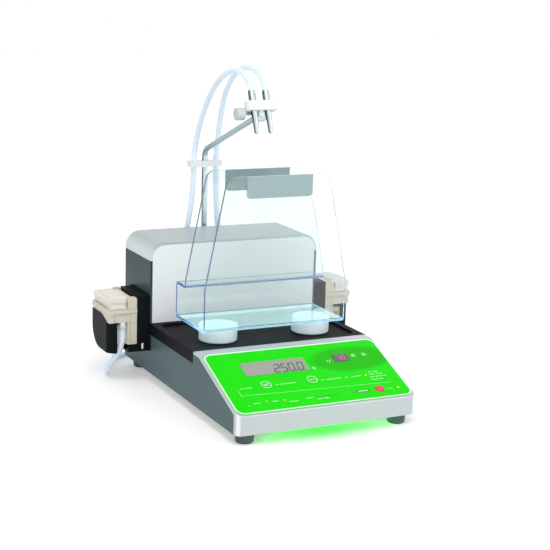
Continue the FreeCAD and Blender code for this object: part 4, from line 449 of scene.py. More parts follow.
painted_edge_highlight = surface("painted_edge_highlight", (0.95, 0.97, 0.97), 0.40, {"Scale": 900, "Mottle": 0.02, "Bump": 0.0})
white_ink = surface("white_ink", (0.74, 0.92, 0.72), 0.45, {"Scale": 900, "Mottle": 0.04, "Bump": 0.0})
pale_ink = surface("pale_ink", (0.40, 0.86, 0.34), 0.45, {"Scale": 900, "Mottle": 0.04, "Bump": 0.0})
dark_ink = surface("dark_ink", (0.018, 0.400, 0.010), 0.45, {"Scale": 900, "Mottle": 0.04, "Bump": 0.0})

# The border band is a painted highlight along the film's edge.
add_marks("film_border", [rounded_frame(BORDER["x"], BORDER["low"], BORDER["high"], BORDER["radius"],
                                        BORDER["width"])], FILM_THICK, painted_edge_highlight)
add_marks("row_line", [ribbon(ROW_LINE, ROW_LINE_WIDTH)], FILM_THICK, pale_ink)
add_marks("label_bars", [bar for spot, lengths in LABELS for bar in words(spot, lengths)], FILM_THICK,
          pale_ink)
add_marks("ink_bands", [ribbon(*LABEL_BAND), ribbon(*LAMP_BAND)], FILM_THICK, dark_ink)
add_marks("band_label", words(*LABEL_ON_BAND), FILM_THICK + INK_THICK, white_ink)

# Displays.
# A grey liquid crystal window with dark slanted figures, and a small dark window with lit
# figures. Each figure is made of up to seven bars. A fraction stroke stands by the small one.

DISPLAY_FACE = 1.7
SEGMENTS = {"a": ((0, 1), (1, 1)), "b": ((1, 1), (1, 0.5)), "c": ((1, 0.5), (1, 0)), "d": ((0, 0), (1, 0)),
            "e": ((0, 0.5), (0, 0)), "f": ((0, 1), (0, 0.5)), "g": ((0, 0.5), (1, 0.5))}
FIGURES = {"0": "abcdef", "1": "bc", "2": "abged", "5": "afgcd"}
SLANT = 0.16
BAR_SHARE = 0.88
WEIGHT_SPOTS = (-39.0, -29.2, -19.4, -7.4)
WEIGHT_FIGURE = {"low": 71.6, "width": 6.6, "high": 14.6, "line": 1.7}
WEIGHT_POINT = ([(-10.6, 70.6), (-10.6, 72.6)], 2.0)
RATIO_SPOTS = (51.0, 57.5)
RATIO_FIGURE = {"low": 82.6, "width": 4.0, "high": 7.6, "line": 1.0}
STROKES = [([(38.0, 79.6), (41.0, 85.4)], 0.8), ([(36.4, 81.4), (36.4, 85.0)], 0.8),
           ([(14.0, 74.6), (14.0, 70.0), (12.0, 69.6)], 0.6)]
UNIT_BOWL = {"middle": (12.6, 73.2), "radius": 1.3, "width": 0.6, "steps": 16}


def figure(digit, across, low, width, high, line):
    """The bars of one figure: each runs between two corners of a slanted cell, a little short."""
    ends = np.array([SEGMENTS[letter] for letter in FIGURES[digit]], float)
    middle = ends.mean(axis=1, keepdims=True)
    ends = middle + (ends - middle) * BAR_SHARE
    x = across + ends[..., 0] * width + ends[..., 1] * high * SLANT
    s = low + ends[..., 1] * high
    return [ribbon(run, line) for run in np.stack([x, s], axis=-1)]


dress(surface("crystal_window", (0.335, 0.360, 0.300), 0.22, {"Scale": 600, "Mottle": 0.05, "Bump": 0.0},
              Coat_Weight=0.3), "lcd_display")
dress(surface("dark_window", (0.145, 0.085, 0.140), 0.20, {"Scale": 600, "Mottle": 0.08, "Bump": 0.0},
              Coat_Weight=0.3), "led_display")
dress(surface("lacquered_board", (0.01, 0.16, 0.06), 0.35, {"Scale": 200, "Mottle": 0.3, "Bump": 0.1}),
      "display_board")
figure_ink = surface("figure_dark", (0.052, 0.055, 0.050), 0.4, {"Scale": 600, "Mottle": 0.05, "Bump": 0.0})
lit_red = surface("figure_lit", (0.62, 0.10, 0.22), 0.3, {"Scale": 600, "Mottle": 0.05, "Bump": 0.0},
                  Emission_Color=(1.0, 0.12, 0.30, 1), Emission_Strength=0.25)

weight = [bar for digit, x in zip("2500", WEIGHT_SPOTS) for bar in figure(digit, x, **WEIGHT_FIGURE)]
weight.append(ribbon(*WEIGHT_POINT))
add_marks("weight_reading", weight, DISPLAY_FACE, figure_ink, slot="lcd_grey")
ratio = [bar for digit, x in zip("10", RATIO_SPOTS) for bar in figure(digit, x, **RATIO_FIGURE)]
add_marks("ratio_reading", ratio, DISPLAY_FACE, lit_red, slot="led_dark")
unit = [ribbon(*stroke) for stroke in STROKES] + [ring(**UNIT_BOWL)]
add_marks("unit_marks", unit, FILM_THICK, white_ink)

# Keys.
# Moulded caps that travel 0.6 mm through the film: two large green ones with a white ring and
# a symbol, two small pale ones with an arrow each, and a glossy red one.

KEY_FACE = 1.8
KEY_RING = {"radius": 6.3, "width": 0.75}
RINGED_KEYS = ("tare_key", "mode_key")
KEY_SYMBOLS = {"tare_key": [((-4.0, 0.9), (4.0, 0.9)), ((-3.0, -1.5), (3.0, -1.5))],
               "mode_key": [((-3.6, 0.0), (-0.6, 0.0)), ((0.8, 0.0), (3.6, 0.0))],
               "down_key": [((-1.6, 0.9), (0.0, -0.9), (1.6, 0.9))],
               "up_key": [((-1.6, -0.9), (0.0, 0.9), (1.6, -0.9))]}
SYMBOL_WIDTH = 0.8

dress(surface("key_green", (0.030, 0.680, 0.012), 0.40, {"Scale": 900, "Mottle": 0.03, "Bump": 0.05},
              Specular_IOR_Level=0.25), "tare_key", "mode_key")
dress(surface("key_pale", (0.10, 0.74, 0.07), 0.38, {"Scale": 900, "Mottle": 0.03, "Bump": 0.05},
              Specular_IOR_Level=0.3), "down_key", "up_key")
dress(surface("key_red", (0.78, 0.030, 0.060), 0.26, {"Scale": 900, "Mottle": 0.05, "Bump": 0.03},
              Coat_Weight=0.5), "start_key")
for key, bars in KEY_SYMBOLS.items():
    spot = np.array(KEY_SPOTS[key])
    symbol = [ribbon(np.array(bar) + spot, SYMBOL_WIDTH) for bar in bars]
    if key in RINGED_KEYS:
        symbol.append(ring(spot, **KEY_RING))
    add_marks(key + "_symbol", symbol, KEY_FACE, white_ink, body=key)

# Indicator lamps.
# Small domed lenses in the film: two orange and two yellow ones are lit, three are dark.

LENS_PROFILE = [(0, -0.3), (1.35, -0.3), (1.35, 0.15), (1.2, 0.4), (0.8, 0.66), (0.4, 0.78), (0, 0.82)]
LAMP_GROUPS = {"lamps_orange": ((0.80, 0.27, 0.01), 0.25, [(-73.5, 20.8), (-50.6, 19.4)]),
               "lamps_yellow": ((0.88, 0.60, 0.01), 0.35, [(72.8, 47.9), (103.2, 18.4)]),
               "lamps_dark": ((0.05, 0.34, 0.03), 0.0, [(-5.3, 18.6), (7.3, 18.4), (19.0, 17.9)])}


def turned(profile, steps=24):
    """A profile of radius and height turned about an axis: each ring of points is the radius
    times the cosine and sine of the turn. The profile starts and ends on the axis."""
    profile = np.asarray(profile, float)
    turn = np.linspace(0, 2 * math.pi, steps, endpoint=False)
    radius, height = profile[1:-1, 0], profile[1:-1, 1]
    rings = np.stack([np.outer(radius, np.cos(turn)), np.outer(radius, np.sin(turn)),
                      np.repeat(height[:, None], steps, axis=1)], axis=-1).reshape(-1, 3)
    points = np.vstack([rings, [[0, 0, profile[0, 1]], [0, 0, profile[-1, 1]]]])
    row, column = np.meshgrid(np.arange(len(radius) - 1), np.arange(steps), indexing="ij")
    after = (column + 1) % steps
    walls = np.stack([row * steps + column, row * steps + after, (row + 1) * steps + after,
                      (row + 1) * steps + column], axis=-1).reshape(-1, 4).tolist()
    around = np.arange(steps)
    ahead = (around + 1) % steps
    top = (len(radius) - 1) * steps
    floor = np.column_stack([np.full(steps, len(rings)), ahead, around]).tolist()
    crown = np.column_stack([np.full(steps, len(rings) + 1), top + around, top + ahead]).tolist()
    return points, walls + floor + crown


lens_points, lens_faces = turned(LENS_PROFILE)
for name, (color, glow, spots) in LAMP_GROUPS.items():
    lens = surface(name, color, 0.22, {"Scale": 600, "Mottle": 0.05, "Bump": 0.0},
                   Emission_Color=(*color, 1), Emission_Strength=glow, Coat_Weight=0.6)
    points, faces = joined([(lens_points + (*spot, FILM_THICK), lens_faces) for spot in spots])
    add_piece(name, on_deck(points), faces, lens, "machine", "led_dark", smooth=True)

# Light bar.
# A green diffuser under the nose that lights the bench in front of the machine.

GLOW_COLOR = (0.02, 1.0, 0.03)

dress(surface("light_bar", GLOW_COLOR, 0.35, {"Scale": 600, "Mottle": 0.05, "Bump": 0.0},
              Emission_Color=(*GLOW_COLOR, 1), Emission_Strength=1.6), "light_bar")

# Tower hood and front panel.
# The hood is one bent sheet in pale silver paint; its colour carries a painted highlight on the shoulders and
# painted shade on the flat top, which is greyer. The front panel is white and stands in it.

SHOULDER_PAINTED_HIGHLIGHT = (0.66, 0.74, 0.745, 1)
HOOD_TOP_PAINTED_SHADE = (0.43, 0.51, 0.52, 1)
HOOD_SHADE_RISE = (0.172, 0.1855)

hood_paint = surface("hood_paint", SHOULDER_PAINTED_HIGHLIGHT[:3], 0.34, {"Scale": 3000, "Mottle": 0.03, "Bump": 0.08},
                     Metallic=0.2)
hood_tree = hood_paint.node_tree
# Painted highlight and shade: lighter on the shoulders, darker on the flat top.
hood_lit_and_shaded = blend_colors(hood_tree, rise_mask(hood_tree, *HOOD_SHADE_RISE), SHOULDER_PAINTED_HIGHLIGHT,
                          HOOD_TOP_PAINTED_SHADE)
hood_tree.links.new(hood_lit_and_shaded, hood_tree.nodes["grain"].inputs["Color"])
dress(hood_paint, "tower_hood")
dress(surface("front_panel_paint", (0.89, 0.93, 0.935), 0.38, {"Scale": 2600, "Mottle": 0.02, "Bump": 0.08}),
      "tower_front_panel")

# Mains inlet, switch and power supply.
# Black moulded housing with a rocker switch in the rear panel; a plated cage inside the case.

dress(surface("inlet_plastic", (0.020, 0.020, 0.022), 0.45, {"Scale": 1500, "Mottle": 0.2, "Bump": 0.2}),
      "power_inlet")
dress(surface("rocker_plastic", (0.015, 0.015, 0.016), 0.25, {"Scale": 1200, "Mottle": 0.2, "Bump": 0.05}),
      "power_switch")
dress(surface("supply_cage", (0.45, 0.46, 0.47), 0.40, {"Scale": 200, "Mottle": 0.15, "Bump": 0.05},
              Metallic=0.8), "power_supply")

# Load cell, weighing beam and support pads.
# Milled aluminium under the tray; two white moulded pads stand through it and carry the holder.

dress(surface("milled_aluminium", (0.78, 0.79, 0.80), 0.35,
              {"Scale": 1500, "Stretch": (1, 0.05, 1), "Mottle": 0.12, "Bump": 0.08}, Metallic=1.0),
      "load_cell", "weighing_beam")
# The faint emission is painted light that brightens the pads where the holder shades them.
dress(surface("pad_white", (0.80, 0.93, 0.96), 0.32, {"Scale": 900, "Mottle": 0.02, "Bump": 0.03},
              Emission_Color=(0.50, 0.86, 1.0, 1), Emission_Strength=0.10, Subsurface_Weight=0.12,
              Subsurface_Radius=(1, 1, 1), Subsurface_Scale=0.004, Coat_Weight=0.3), "support_pads")

# Bag holder.
# Clear acrylic sheet, bent hot to a trough with tall panels. Its sawn edges are tinted blue and carry a
# painted glow for the light they gather: the faces that look across, the tops of the panels, and faintly the
# bends. The trough's low level faces carry a cyan painted glow.

SHEET_COLOR = (0.87, 0.925, 0.93, 1)
TROUGH_COLOR = (0.80, 0.97, 0.965, 1)
TROUGH_PAINTED_GLOW = (0.20, 0.42, 0.41, 1)
SAWN_COLOR = (0.52, 0.64, 0.95, 1)
SAWN_PAINTED_GLOW = (0.16, 0.30, 0.86, 1)
SAWN_TOP_PAINTED_GLOW = (0.22, 0.42, 0.46, 1)
SAWN_FADE = (0.15, 0.27)
BEND_SHARE = 0.22
PANEL_TOP = (0.284, 0.285)
TROUGH_RISE = (0.0992, 0.1010)
ACROSS_LEAST = 0.2
UPWARD_LEAST = 0.9
LEVEL_LEAST = 0.985
SHADOW_PASSES = 0.9


def more_than(tree, value, least):
    """1 where the size of the value, whatever its sign, is over the least one, and 0 elsewhere."""
    return math_node(tree, "GREATER_THAN", math_node(tree, "ABSOLUTE", value, 0.0), least)


def sawn_mask(tree, facing):
    """1 on faces that look across and on the panels' tops, and a share of it on the bends."""
    across = more_than(tree, facing["X"], ACROSS_LEAST)
    upward = math_node(tree, "GREATER_THAN", facing["Z"], UPWARD_LEAST)
    top = math_node(tree, "MULTIPLY", upward, rise_mask(tree, *PANEL_TOP))
    lean = math_node(tree, "MINIMUM", math_node(tree, "ABSOLUTE", facing["Y"], 0.0),
                     math_node(tree, "ABSOLUTE", facing["Z"], 0.0))
    bend = math_node(tree, "MULTIPLY", math_node(tree, "GREATER_THAN", lean, ACROSS_LEAST), BEND_SHARE)
    return math_node(tree, "MAXIMUM", math_node(tree, "MAXIMUM", across, top), bend)


def clear_acrylic():
    """Clear sheet, tinted at its sawn edges, with a painted glow there and on the trough's level faces; most
    light that only passes through, for shadows and on to other pieces, goes unbent."""
    material, shader = new_material("clear_acrylic")
    tree = material.node_tree
    facing = axis_parts(tree, tree.nodes.new("ShaderNodeNewGeometry").outputs["True Normal"])
    sawn = sawn_mask(tree, facing)
    over_trough = rise_mask(tree, *TROUGH_RISE)
    sheet = blend_colors(tree, over_trough, TROUGH_COLOR, SHEET_COLOR)
    tree.links.new(blend_colors(tree, sawn, sheet, SAWN_COLOR), shader.inputs["Base Color"])
    low_and_level = math_node(tree, "MULTIPLY", more_than(tree, facing["Z"], LEVEL_LEAST),
                              math_node(tree, "SUBTRACT", 1.0, over_trough))
    # Painted glow on the trough's low level faces and on the sawn edges.
    face_painted_glow = blend_colors(tree, low_and_level, (0, 0, 0, 1), TROUGH_PAINTED_GLOW)
    edge_painted_glow = blend_colors(tree, rise_mask(tree, *SAWN_FADE), SAWN_PAINTED_GLOW, SAWN_TOP_PAINTED_GLOW)
    tree.links.new(blend_colors(tree, sawn, face_painted_glow, edge_painted_glow), shader.inputs["Emission Color"])
    shader.inputs["Emission Strength"].default_value = 0.38
    path = tree.nodes.new("ShaderNodeLightPath")
    passing = math_node(tree, "MAXIMUM", path.outputs["Is Shadow Ray"], path.outputs["Is Diffuse Ray"])
    passing = math_node(tree, "MULTIPLY", passing, SHADOW_PASSES)
    tree.links.new(math_node(tree, "SUBTRACT", 1.0, passing), shader.inputs["Alpha"])
    shader.inputs["Roughness"].default_value = 0.03
    shader.inputs["IOR"].default_value = 1.49
    shader.inputs["Transmission Weight"].default_value = 1.0
    return material


dress(clear_acrylic(), "bag_holder")

# Clip plates.
# Two satin grey plates high on the panels, which grip the edge of the bag.

dress(surface("clip_plate", (0.33, 0.44, 0.455), 0.35, {"Scale": 1500, "Mottle": 0.03, "Bump": 0.06}),
      "clip_plates")

# Mast and its bracket.
# A polished stainless rod, bent once, clamped in an anodised block behind the tower. Its colour carries a
# painted reflection of the room: the side turned to the dim half of it is painted dark, the other side
# bright.

DIM_HALF = (-0.80, 0.60, 0.0)
ROD_REFLECTION_DARK = (0.15, 0.22, 0.23, 1)
ROD_REFLECTION_BRIGHT = (0.62, 0.72, 0.73, 1)
ROD_TURN = (-0.15, 0.5)
ARM_REFLECTION_DARK = (0.34, 0.43, 0.435, 1)
ARM_RISE = (0.280, 0.300)


def reflection_painted_steel(name, roughness, dark, bright, turn):
    """Steel with a painted reflection: its colour goes from bright to dark as the cosine between the face's
    normal and the dim half of the room passes through the two values of turn."""
    steel = surface(name, bright[:3], roughness, {"Scale": 2500, "Stretch": (1, 1, 0.05), "Mottle": 0.10,
                                                  "Bump": 0.015}, Metallic=1.0)
    tree = steel.node_tree
    place = tree.nodes.new("ShaderNodeTexCoord")
    cosine = vector_node(tree, "DOT_PRODUCT", place.outputs["Normal"], DIM_HALF)
    painted_reflection = blend_colors(tree, ramp(tree, cosine, turn), bright, dark)
    painted_reflection.node.name = "painted_reflection"
    tree.links.new(painted_reflection, tree.nodes["grain"].inputs["Color"])
    return steel


rod_steel = reflection_painted_steel("polished_rod", 0.24, ROD_REFLECTION_DARK, ROD_REFLECTION_BRIGHT, ROD_TURN)
rod_tree = rod_steel.node_tree
# Painted reflection: higher up on the arm the dark side is painted lighter.
rod_tree.links.new(blend_colors(rod_tree, rise_mask(rod_tree, *ARM_RISE), ROD_REFLECTION_DARK, ARM_REFLECTION_DARK),
                   rod_tree.nodes["painted_reflection"].inputs["B"])
dress(rod_steel, "mast")
dress(surface("anodised_block", (0.66, 0.68, 0.69), 0.40, {"Scale": 1500, "Mottle": 0.06, "Bump": 0.08},
              Metallic=0.9), "mast_bracket")

# Tube clip, nozzle block and clamp knob.
# Turned and milled from the same white plastic; the knob's copy of it is darker grey-green, as painted shade.

dress(surface("white_plastic", (0.84, 0.87, 0.86), 0.36, {"Scale": 900, "Mottle": 0.02, "Bump": 0.04},
              Subsurface_Weight=0.1, Subsurface_Radius=(1, 1, 1), Subsurface_Scale=0.002),
      "tube_clip", "nozzle_block")
# The knob's darker copy of the white plastic is painted shade.
dress(surface("knob_plastic_painted_shade", (0.56, 0.64, 0.62), 0.40, {"Scale": 900, "Mottle": 0.03, "Bump": 0.06}),
      "clamp_knob")

# Nozzles.
# Polished stainless tubes with a sleeve for the hose, gripped in the block. Their colour carries the same
# painted reflection as the mast: dark on the side turned to the dim half of the room.

NOZZLE_REFLECTION_DARK = (0.10, 0.15, 0.15, 1)
NOZZLE_REFLECTION_BRIGHT = (0.62, 0.73, 0.73, 1)
NOZZLE_TURN = (0.0, 0.4)

dress(reflection_painted_steel("nozzle_steel", 0.14, NOZZLE_REFLECTION_DARK, NOZZLE_REFLECTION_BRIGHT, NOZZLE_TURN), "nozzles")

# Pump mounts and their pins.
# Black moulded blocks on the tower's sides, each with a bright pin low in its front.

PUMP_SIDES = ("left", "right")

black_plastic = surface("pump_black", (0.007, 0.010, 0.011), 0.42,
                        {"Scale": 1800, "Mottle": 0.25, "Bump": 0.25}, Specular_IOR_Level=0.04)
dress(black_plastic, *["pump_mount_" + side for side in PUMP_SIDES])
dress(turned_zinc, "mount_pins")

# Pump heads: bodies, hinged lids and tube clamps.
# Cream mouldings; the lid opens upward and outward to let the tube in. Thin dark seams show
# on the front of each head.

cream_plastic = surface("pump_cream", (0.72, 0.68, 0.56), 0.38, {"Scale": 1600, "Mottle": 0.03, "Bump": 0.08},
                        Subsurface_Weight=0.06, Subsurface_Radius=(1, 1, 1), Subsurface_Scale=0.003)
dress(cream_plastic, "tube_clamps", *["pump_body_" + side for side in PUMP_SIDES])
dress(surface("lid_cream", (0.84, 0.82, 0.74), 0.34, {"Scale": 1600, "Mottle": 0.03, "Bump": 0.06},
              Subsurface_Weight=0.06, Subsurface_Radius=(1, 1, 1), Subsurface_Scale=0.003),
      *["pump_lid_" + side for side in PUMP_SIDES])

HEAD_FRONT = 79.0
SEAM_PATHS = [[(169.3, 84.6), (169.3, 95.8), (138.3, 95.8)], [(147.8, 95.8), (147.8, 55.5)],
              [(147.8, 82.4), (138.3, 82.4)], [(175.0, 101.6), (138.3, 101.6)]]
SEAM = {"width": 0.45, "sunk": -0.02, "proud": 0.05}

seam_cream = surface("seam_cream", (0.42, 0.36, 0.28), 0.5, {"Scale": 900, "Mottle": 0.05, "Bump": 0.0})


def on_head_front(points):
    """World places of points given across, up and out of the heads' front faces."""
    points = np.asarray(points, float)
    return np.column_stack([points[:, 0], HEAD_FRONT - points[:, 2], points[:, 1]]) * MM


for side, sign in zip(PUMP_SIDES, (-1, 1)):
    lines = [ribbon([(sign * x, z) for x, z in path], SEAM["width"]) for path in SEAM_PATHS]
    points, faces = joined([thick_ribbon(line, SEAM["sunk"], SEAM["proud"]) for line in lines])
    add_piece("head_seams_" + side, on_head_front(points), faces, seam_cream, "machine", "pump_beige")

# Guards, rotors, rollers, motors and the squeezed tubes.
# A black trough covers the white rotor and its three rollers; the motor is inside the case.

dress(black_plastic, *["pump_guard_" + side for side in PUMP_SIDES])
dress(surface("roller_white", (0.80, 0.80, 0.77), 0.40, {"Scale": 900, "Mottle": 0.05, "Bump": 0.05}),
      *["pump_rotor_" + side for side in PUMP_SIDES],
      *["roller_%s_%d" % (side, i) for side in PUMP_SIDES for i in (1, 2, 3)])
dress(surface("motor_can", (0.30, 0.31, 0.32), 0.35, {"Scale": 300, "Mottle": 0.1, "Bump": 0.05},
              Metallic=0.8), "pump_motors")

# Delivery tubes.
# Milky silicone tube, 8 mm across: from each nozzle over the arm and down behind the tower,
# through the clip on the mast, to the rear port of a pump. Each is one smooth line.

TUBE = 8.0
ARM_ANGLE = math.radians(21)
MAST_Y = 187.0
MAST_CORNER = 290.0
BLOCK_ALONG = 189.5
NOZZLE_X = 9.8
NOZZLE_SEAT = 20.05
NOZZLE_STRAIGHT = 33.5
CLIP_X = 16.0
CLIP_Z = 271.5
PORT_X = 156.0
PORT_Y = (85.2, 138.8)
PORT_LOW = 70.0
PORT_Z = 86.0
LEFT_ROUTE = [(-10.2, 31.8, 399.8), (-10.5, 46.5, 406.4), (-10.9, 67.0, 408.8), (-11.5, 93.0, 403.4),
              (-12.1, 118.5, 391.6), (-12.9, 150.0, 364.0), (-14.2, 176.0, 324.0), (-15.4, 188.0, 291.0)]
RIGHT_ROUTE = [(10.2, 31.6, 400.4), (10.6, 47.0, 408.6), (11.4, 72.0, 412.2), (12.2, 99.0, 409.2),
               (13.0, 125.0, 397.8), (14.2, 155.0, 372.0), (15.4, 172.5, 334.0), (15.9, 182.0, 298.0)]
REAR_ROUTE = [(18.0, 188.5, 215.0), (26.0, 195.0, 160.0), (40.0, 201.0, 112.0), (66.0, 205.0, 74.0),
              (98.0, 206.0, 46.0), (130.0, 194.0, 34.0), (152.0, 170.0, 38.0), (158.0, 148.0, 56.0)]
SEGMENT_STEPS = 8
ROUND_STEPS = 5

# The faint emission is painted light that brightens the tube, standing in for light passing through the
# silicone.
silicone = surface("silicone", (0.76, 0.85, 0.94), 0.28, {"Scale": 500, "Mottle": 0.03, "Bump": 0.02},
                   Emission_Color=(0.66, 0.82, 1.0, 1), Emission_Strength=0.15, Transmission_Weight=0.12,
                   IOR=1.41, Subsurface_Weight=0.25, Subsurface_Radius=(1, 1, 1), Subsurface_Scale=0.003,
                   Coat_Weight=0.4)
dress(silicone, "pump_tubes")


def arm_point(x, s, w):
    """A point given across, along the arm and above its axis."""
    return (x, MAST_Y - s * math.cos(ARM_ANGLE) + w * math.sin(ARM_ANGLE),
            MAST_CORNER + s * math.sin(ARM_ANGLE) + w * math.cos(ARM_ANGLE))


def tube_curve(name, points):
    data = bpy.data.curves.new(name, "CURVE")
    data.dimensions = "3D"
    spline = data.splines.new("NURBS")
    spline.points.add(len(points) - 1)
    for point, spot in zip(spline.points, points):
        point.co = (spot[0] * MM, spot[1] * MM, spot[2] * MM, 1)
    spline.order_u = 3
    spline.use_endpoint_u = True
    spline.resolution_u = SEGMENT_STEPS
    data.bevel_depth = TUBE / 2 * MM
    data.bevel_resolution = ROUND_STEPS
    data.use_fill_caps = True
    data.materials.append(silicone)
    tube = bpy.data.objects.new(name, data)
    bpy.context.collection.objects.link(tube)
    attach(tube, "machine")
    return tube


def delivery_line(name, node, side, route):
    points = [arm_point(side * NOZZLE_X, BLOCK_ALONG, w) for w in (NOZZLE_SEAT, NOZZLE_STRAIGHT)]
    points += route
    points.append((side * CLIP_X, MAST_Y, CLIP_Z))
    points += [(side * x, y, z) for x, y, z in REAR_ROUTE]
    points += [(side * PORT_X, PORT_Y[1], z) for z in (PORT_LOW, PORT_Z)]
    tube = tube_curve(name, points)
    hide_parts(node)


delivery_line("delivery_line_left", "delivery_tube_left", -1, LEFT_ROUTE)
delivery_line("delivery_line_right", "delivery_tube_right", 1, RIGHT_ROUTE)

# Supply tube, its connector and the collars at the ports.
# The tube leaves the left pump's front port through a collar, runs down and round behind on
# the bench, and the length that isn't shown is wound there in a small coil. Each port has a
# collar, pressed on, with a flat that clears the rotor.

SUPPLY_ROUTE = [(-156.0, 85.2, 86.0), (-156.0, 85.2, 66.0), (-158.0, 85.0, 50.0), (-163.5, 92.0, 36.0),
                (-166.5, 106.0, 22.0), (-164.0, 128.0, 4.0), (-152.0, 158.0, 4.0), (-134.0, 186.0, 4.0),
                (-110.0, 204.0, 4.0), (-80.0, 210.0, 4.0), (-50.0, 210.0, 4.0)]
COIL_CENTRE = (-20.0, 262.0)
COIL_TURNS = ((52.0, 4.0, 16), (44.0, 4.0, 16), (48.0, 11.0, 8))
TURN_POINTS = 16
EASE_POINTS = 4
COIL_TAIL = [(-34.0, 312.0, 9.0), (-50.0, 314.0, 4.0), (-66.0, 314.0, 4.0)]
COLLAR_PROFILE = [(4.05, 74.4), (5.2, 74.4), (5.6, 74.9), (5.6, 78.6), (5.4, 78.95), (4.05, 78.95)]
COLLAR_FLAT = 4.15


def coil_points():
    """Outer turn, inner turn, and half a turn lying on the pair; each eases into the next."""
    points = []
    angle = math.radians(-90)
    before = COIL_TURNS[0]
    for turn in COIL_TURNS:
        for step in range(turn[2]):
            share = min(1.0, (step + 1) / (EASE_POINTS + 1))
            radius = before[0] + (turn[0] - before[0]) * share
            height = before[1] + (turn[1] - before[1]) * share
            angle += 2 * math.pi / TURN_POINTS
            points.append((COIL_CENTRE[0] + radius * math.cos(angle),
                           COIL_CENTRE[1] + radius * math.sin(angle), height))
        before = turn
    return points


def port_collar(profile, spot, steps=32):
    """A closed profile of radius and height turned about an upright axis through the spot.
    Its depth towards the rotor is the radius times the sine of the turn, but never more than
    the flat's. At the rear ports it stands the other way round."""
    profile = np.asarray(profile, float)
    turn = np.linspace(0, 2 * math.pi, steps, endpoint=False)
    inward = math.copysign(1, sum(PORT_Y) / 2 - spot[1])
    depth = np.minimum(np.outer(profile[:, 0], np.sin(turn)), COLLAR_FLAT)
    points = np.stack([spot[0] + inward * np.outer(profile[:, 0], np.cos(turn)), spot[1] + inward * depth,
                       np.repeat(profile[:, 1:], steps, axis=1)], axis=-1).reshape(-1, 3)
    row, column = np.meshgrid(np.arange(len(profile)), np.arange(steps), indexing="ij")
    above, after = (row + 1) % len(profile), (column + 1) % steps
    faces = np.stack([row * steps + column, row * steps + after, above * steps + after,
                      above * steps + column], axis=-1).reshape(-1, 4)
    return points * MM, faces


dress(surface("connector_plastic", (0.50, 0.53, 0.54), 0.40, {"Scale": 900, "Mottle": 0.05, "Bump": 0.05}),
      "supply_connector")
collar_plastic = surface("collar_plastic", (0.60, 0.66, 0.63), 0.35,
                         {"Scale": 900, "Mottle": 0.04, "Bump": 0.03})
collars = [port_collar(COLLAR_PROFILE, (x, y)) for x in (-PORT_X, PORT_X) for y in PORT_Y]
add_piece("port_collars", *joined(collars), collar_plastic, "machine", "connector_grey")
supply = tube_curve("supply_line", SUPPLY_ROUTE + coil_points() + COIL_TAIL)
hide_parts("supply_tube", "supply_coil")

# Studio.
# A pale floor that the camera sees as white and that keeps the shadow, an even sky, soft
# lamps from the upper left and the front, and a small one for the green light at the nose.

FLOOR_SIZE = 6.0
FLOOR_COLOR = (0.93, 0.93, 0.92, 1)
FLOOR_LIFT = (0.28, 0.46)
FLOOR_LIFT_REACH = (0.45, 1.3)
FLOOR_PAINTED_GLOW = (0.10, 0.93, 0.10, 1)
GLOW_SPOT = (0.002, DECK_FRONT * MM + 0.022, 0)
GLOW_RADII = (135.0, 56.0)
GLOW_LEAST = 0.20
WHITE = (1, 1, 1, 1)
SKY_STRENGTH = (0.62, 1.0)
LAMP_AIM = (0, 0, 0.1)
NOSE_LAMP = (0.02, DECK_FRONT * MM + 0.016, 0.0128)
NOSE_LAMP_AIM = (0.02, DECK_FRONT * MM + 0.012, 0)


def seen_ray(tree):
    """1 for rays from the camera, from a mirror or through glass, and 0 for the rest."""
    path = tree.nodes.new("ShaderNodeLightPath")
    seen = math_node(tree, "MAXIMUM", path.outputs["Is Camera Ray"], path.outputs["Is Transmission Ray"])
    return math_node(tree, "MAXIMUM", seen, path.outputs["Is Glossy Ray"])


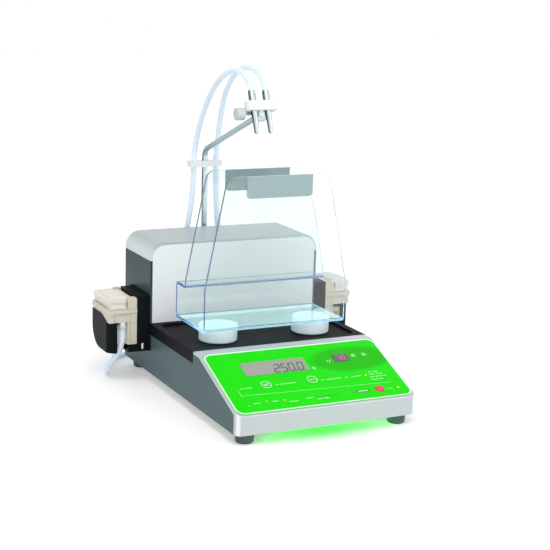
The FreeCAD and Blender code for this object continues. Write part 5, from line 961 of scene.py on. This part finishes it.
def floor_material():
    """Pale floor; for rays that are seen it adds a little white, more away from the machine. Within an
    ellipse under the light bar both are green, fading out to its rim: a painted pool of the bar's green
    light."""
    material, shader = new_material("floor")
    tree = material.node_tree
    shader.inputs["Roughness"].default_value = 0.6
    # Painted pool of the light bar's green light on the floor.
    share = ramp(tree, ellipse_reach(tree, GLOW_SPOT, GLOW_RADII), (0, 1), (GLOW_LEAST, 1))
    tree.links.new(blend_colors(tree, share, FLOOR_PAINTED_GLOW, FLOOR_COLOR), shader.inputs["Base Color"])
    tree.links.new(blend_colors(tree, share, FLOOR_PAINTED_GLOW, WHITE), shader.inputs["Emission Color"])
    place = tree.nodes.new("ShaderNodeTexCoord")
    distance = vector_node(tree, "LENGTH", place.outputs["Object"])
    lift = ramp(tree, distance, FLOOR_LIFT_REACH, FLOOR_LIFT, "LINEAR")
    tree.links.new(math_node(tree, "MULTIPLY", lift, seen_ray(tree)), shader.inputs["Emission Strength"])
    return material


def add_floor():
    mesh = bpy.data.meshes.new("floor")
    corners = np.array([(-1, -1, 0), (1, -1, 0), (1, 1, 0), (-1, 1, 0)]) * FLOOR_SIZE
    mesh.from_pydata(corners.tolist(), [], [(0, 1, 2, 3)])
    floor = bpy.data.objects.new("floor", mesh)
    bpy.context.collection.objects.link(floor)
    mesh.materials.append(floor_material())


def set_world():
    world = bpy.data.worlds.new("studio")
    bpy.context.scene.world = world
    world.use_nodes = True
    tree = world.node_tree
    tree.nodes.clear()
    sky = tree.nodes.new("ShaderNodeBackground")
    sky.inputs["Color"].default_value = WHITE
    tree.links.new(ramp(tree, seen_ray(tree), (0, 1), SKY_STRENGTH, "LINEAR"), sky.inputs["Strength"])
    output = tree.nodes.new("ShaderNodeOutputWorld")
    tree.links.new(sky.outputs[0], output.inputs["Surface"])


def add_lamp(name, spot, aim, size, power, color=(1, 1, 1)):
    data = bpy.data.lights.new(name, "AREA")
    data.shape = "RECTANGLE"
    data.size, data.size_y = size
    data.energy = power
    data.color = color
    lamp = bpy.data.objects.new(name, data)
    bpy.context.collection.objects.link(lamp)
    lamp.location = spot
    lamp.rotation_euler = (Vector(aim) - Vector(spot)).to_track_quat("-Z", "Y").to_euler()


add_floor()
set_world()
add_lamp("key_lamp", (-0.5, -0.9, 1.7), LAMP_AIM, (1.2, 1.2), 14)
add_lamp("front_lamp", (0.9, -1.6, 0.8), LAMP_AIM, (1.0, 0.8), 6)
add_lamp("under_nose_glow", NOSE_LAMP, NOSE_LAMP_AIM, (0.15, 0.008), 0.035, GLOW_COLOR)
bpy.context.scene.view_settings.view_transform = "Standard"
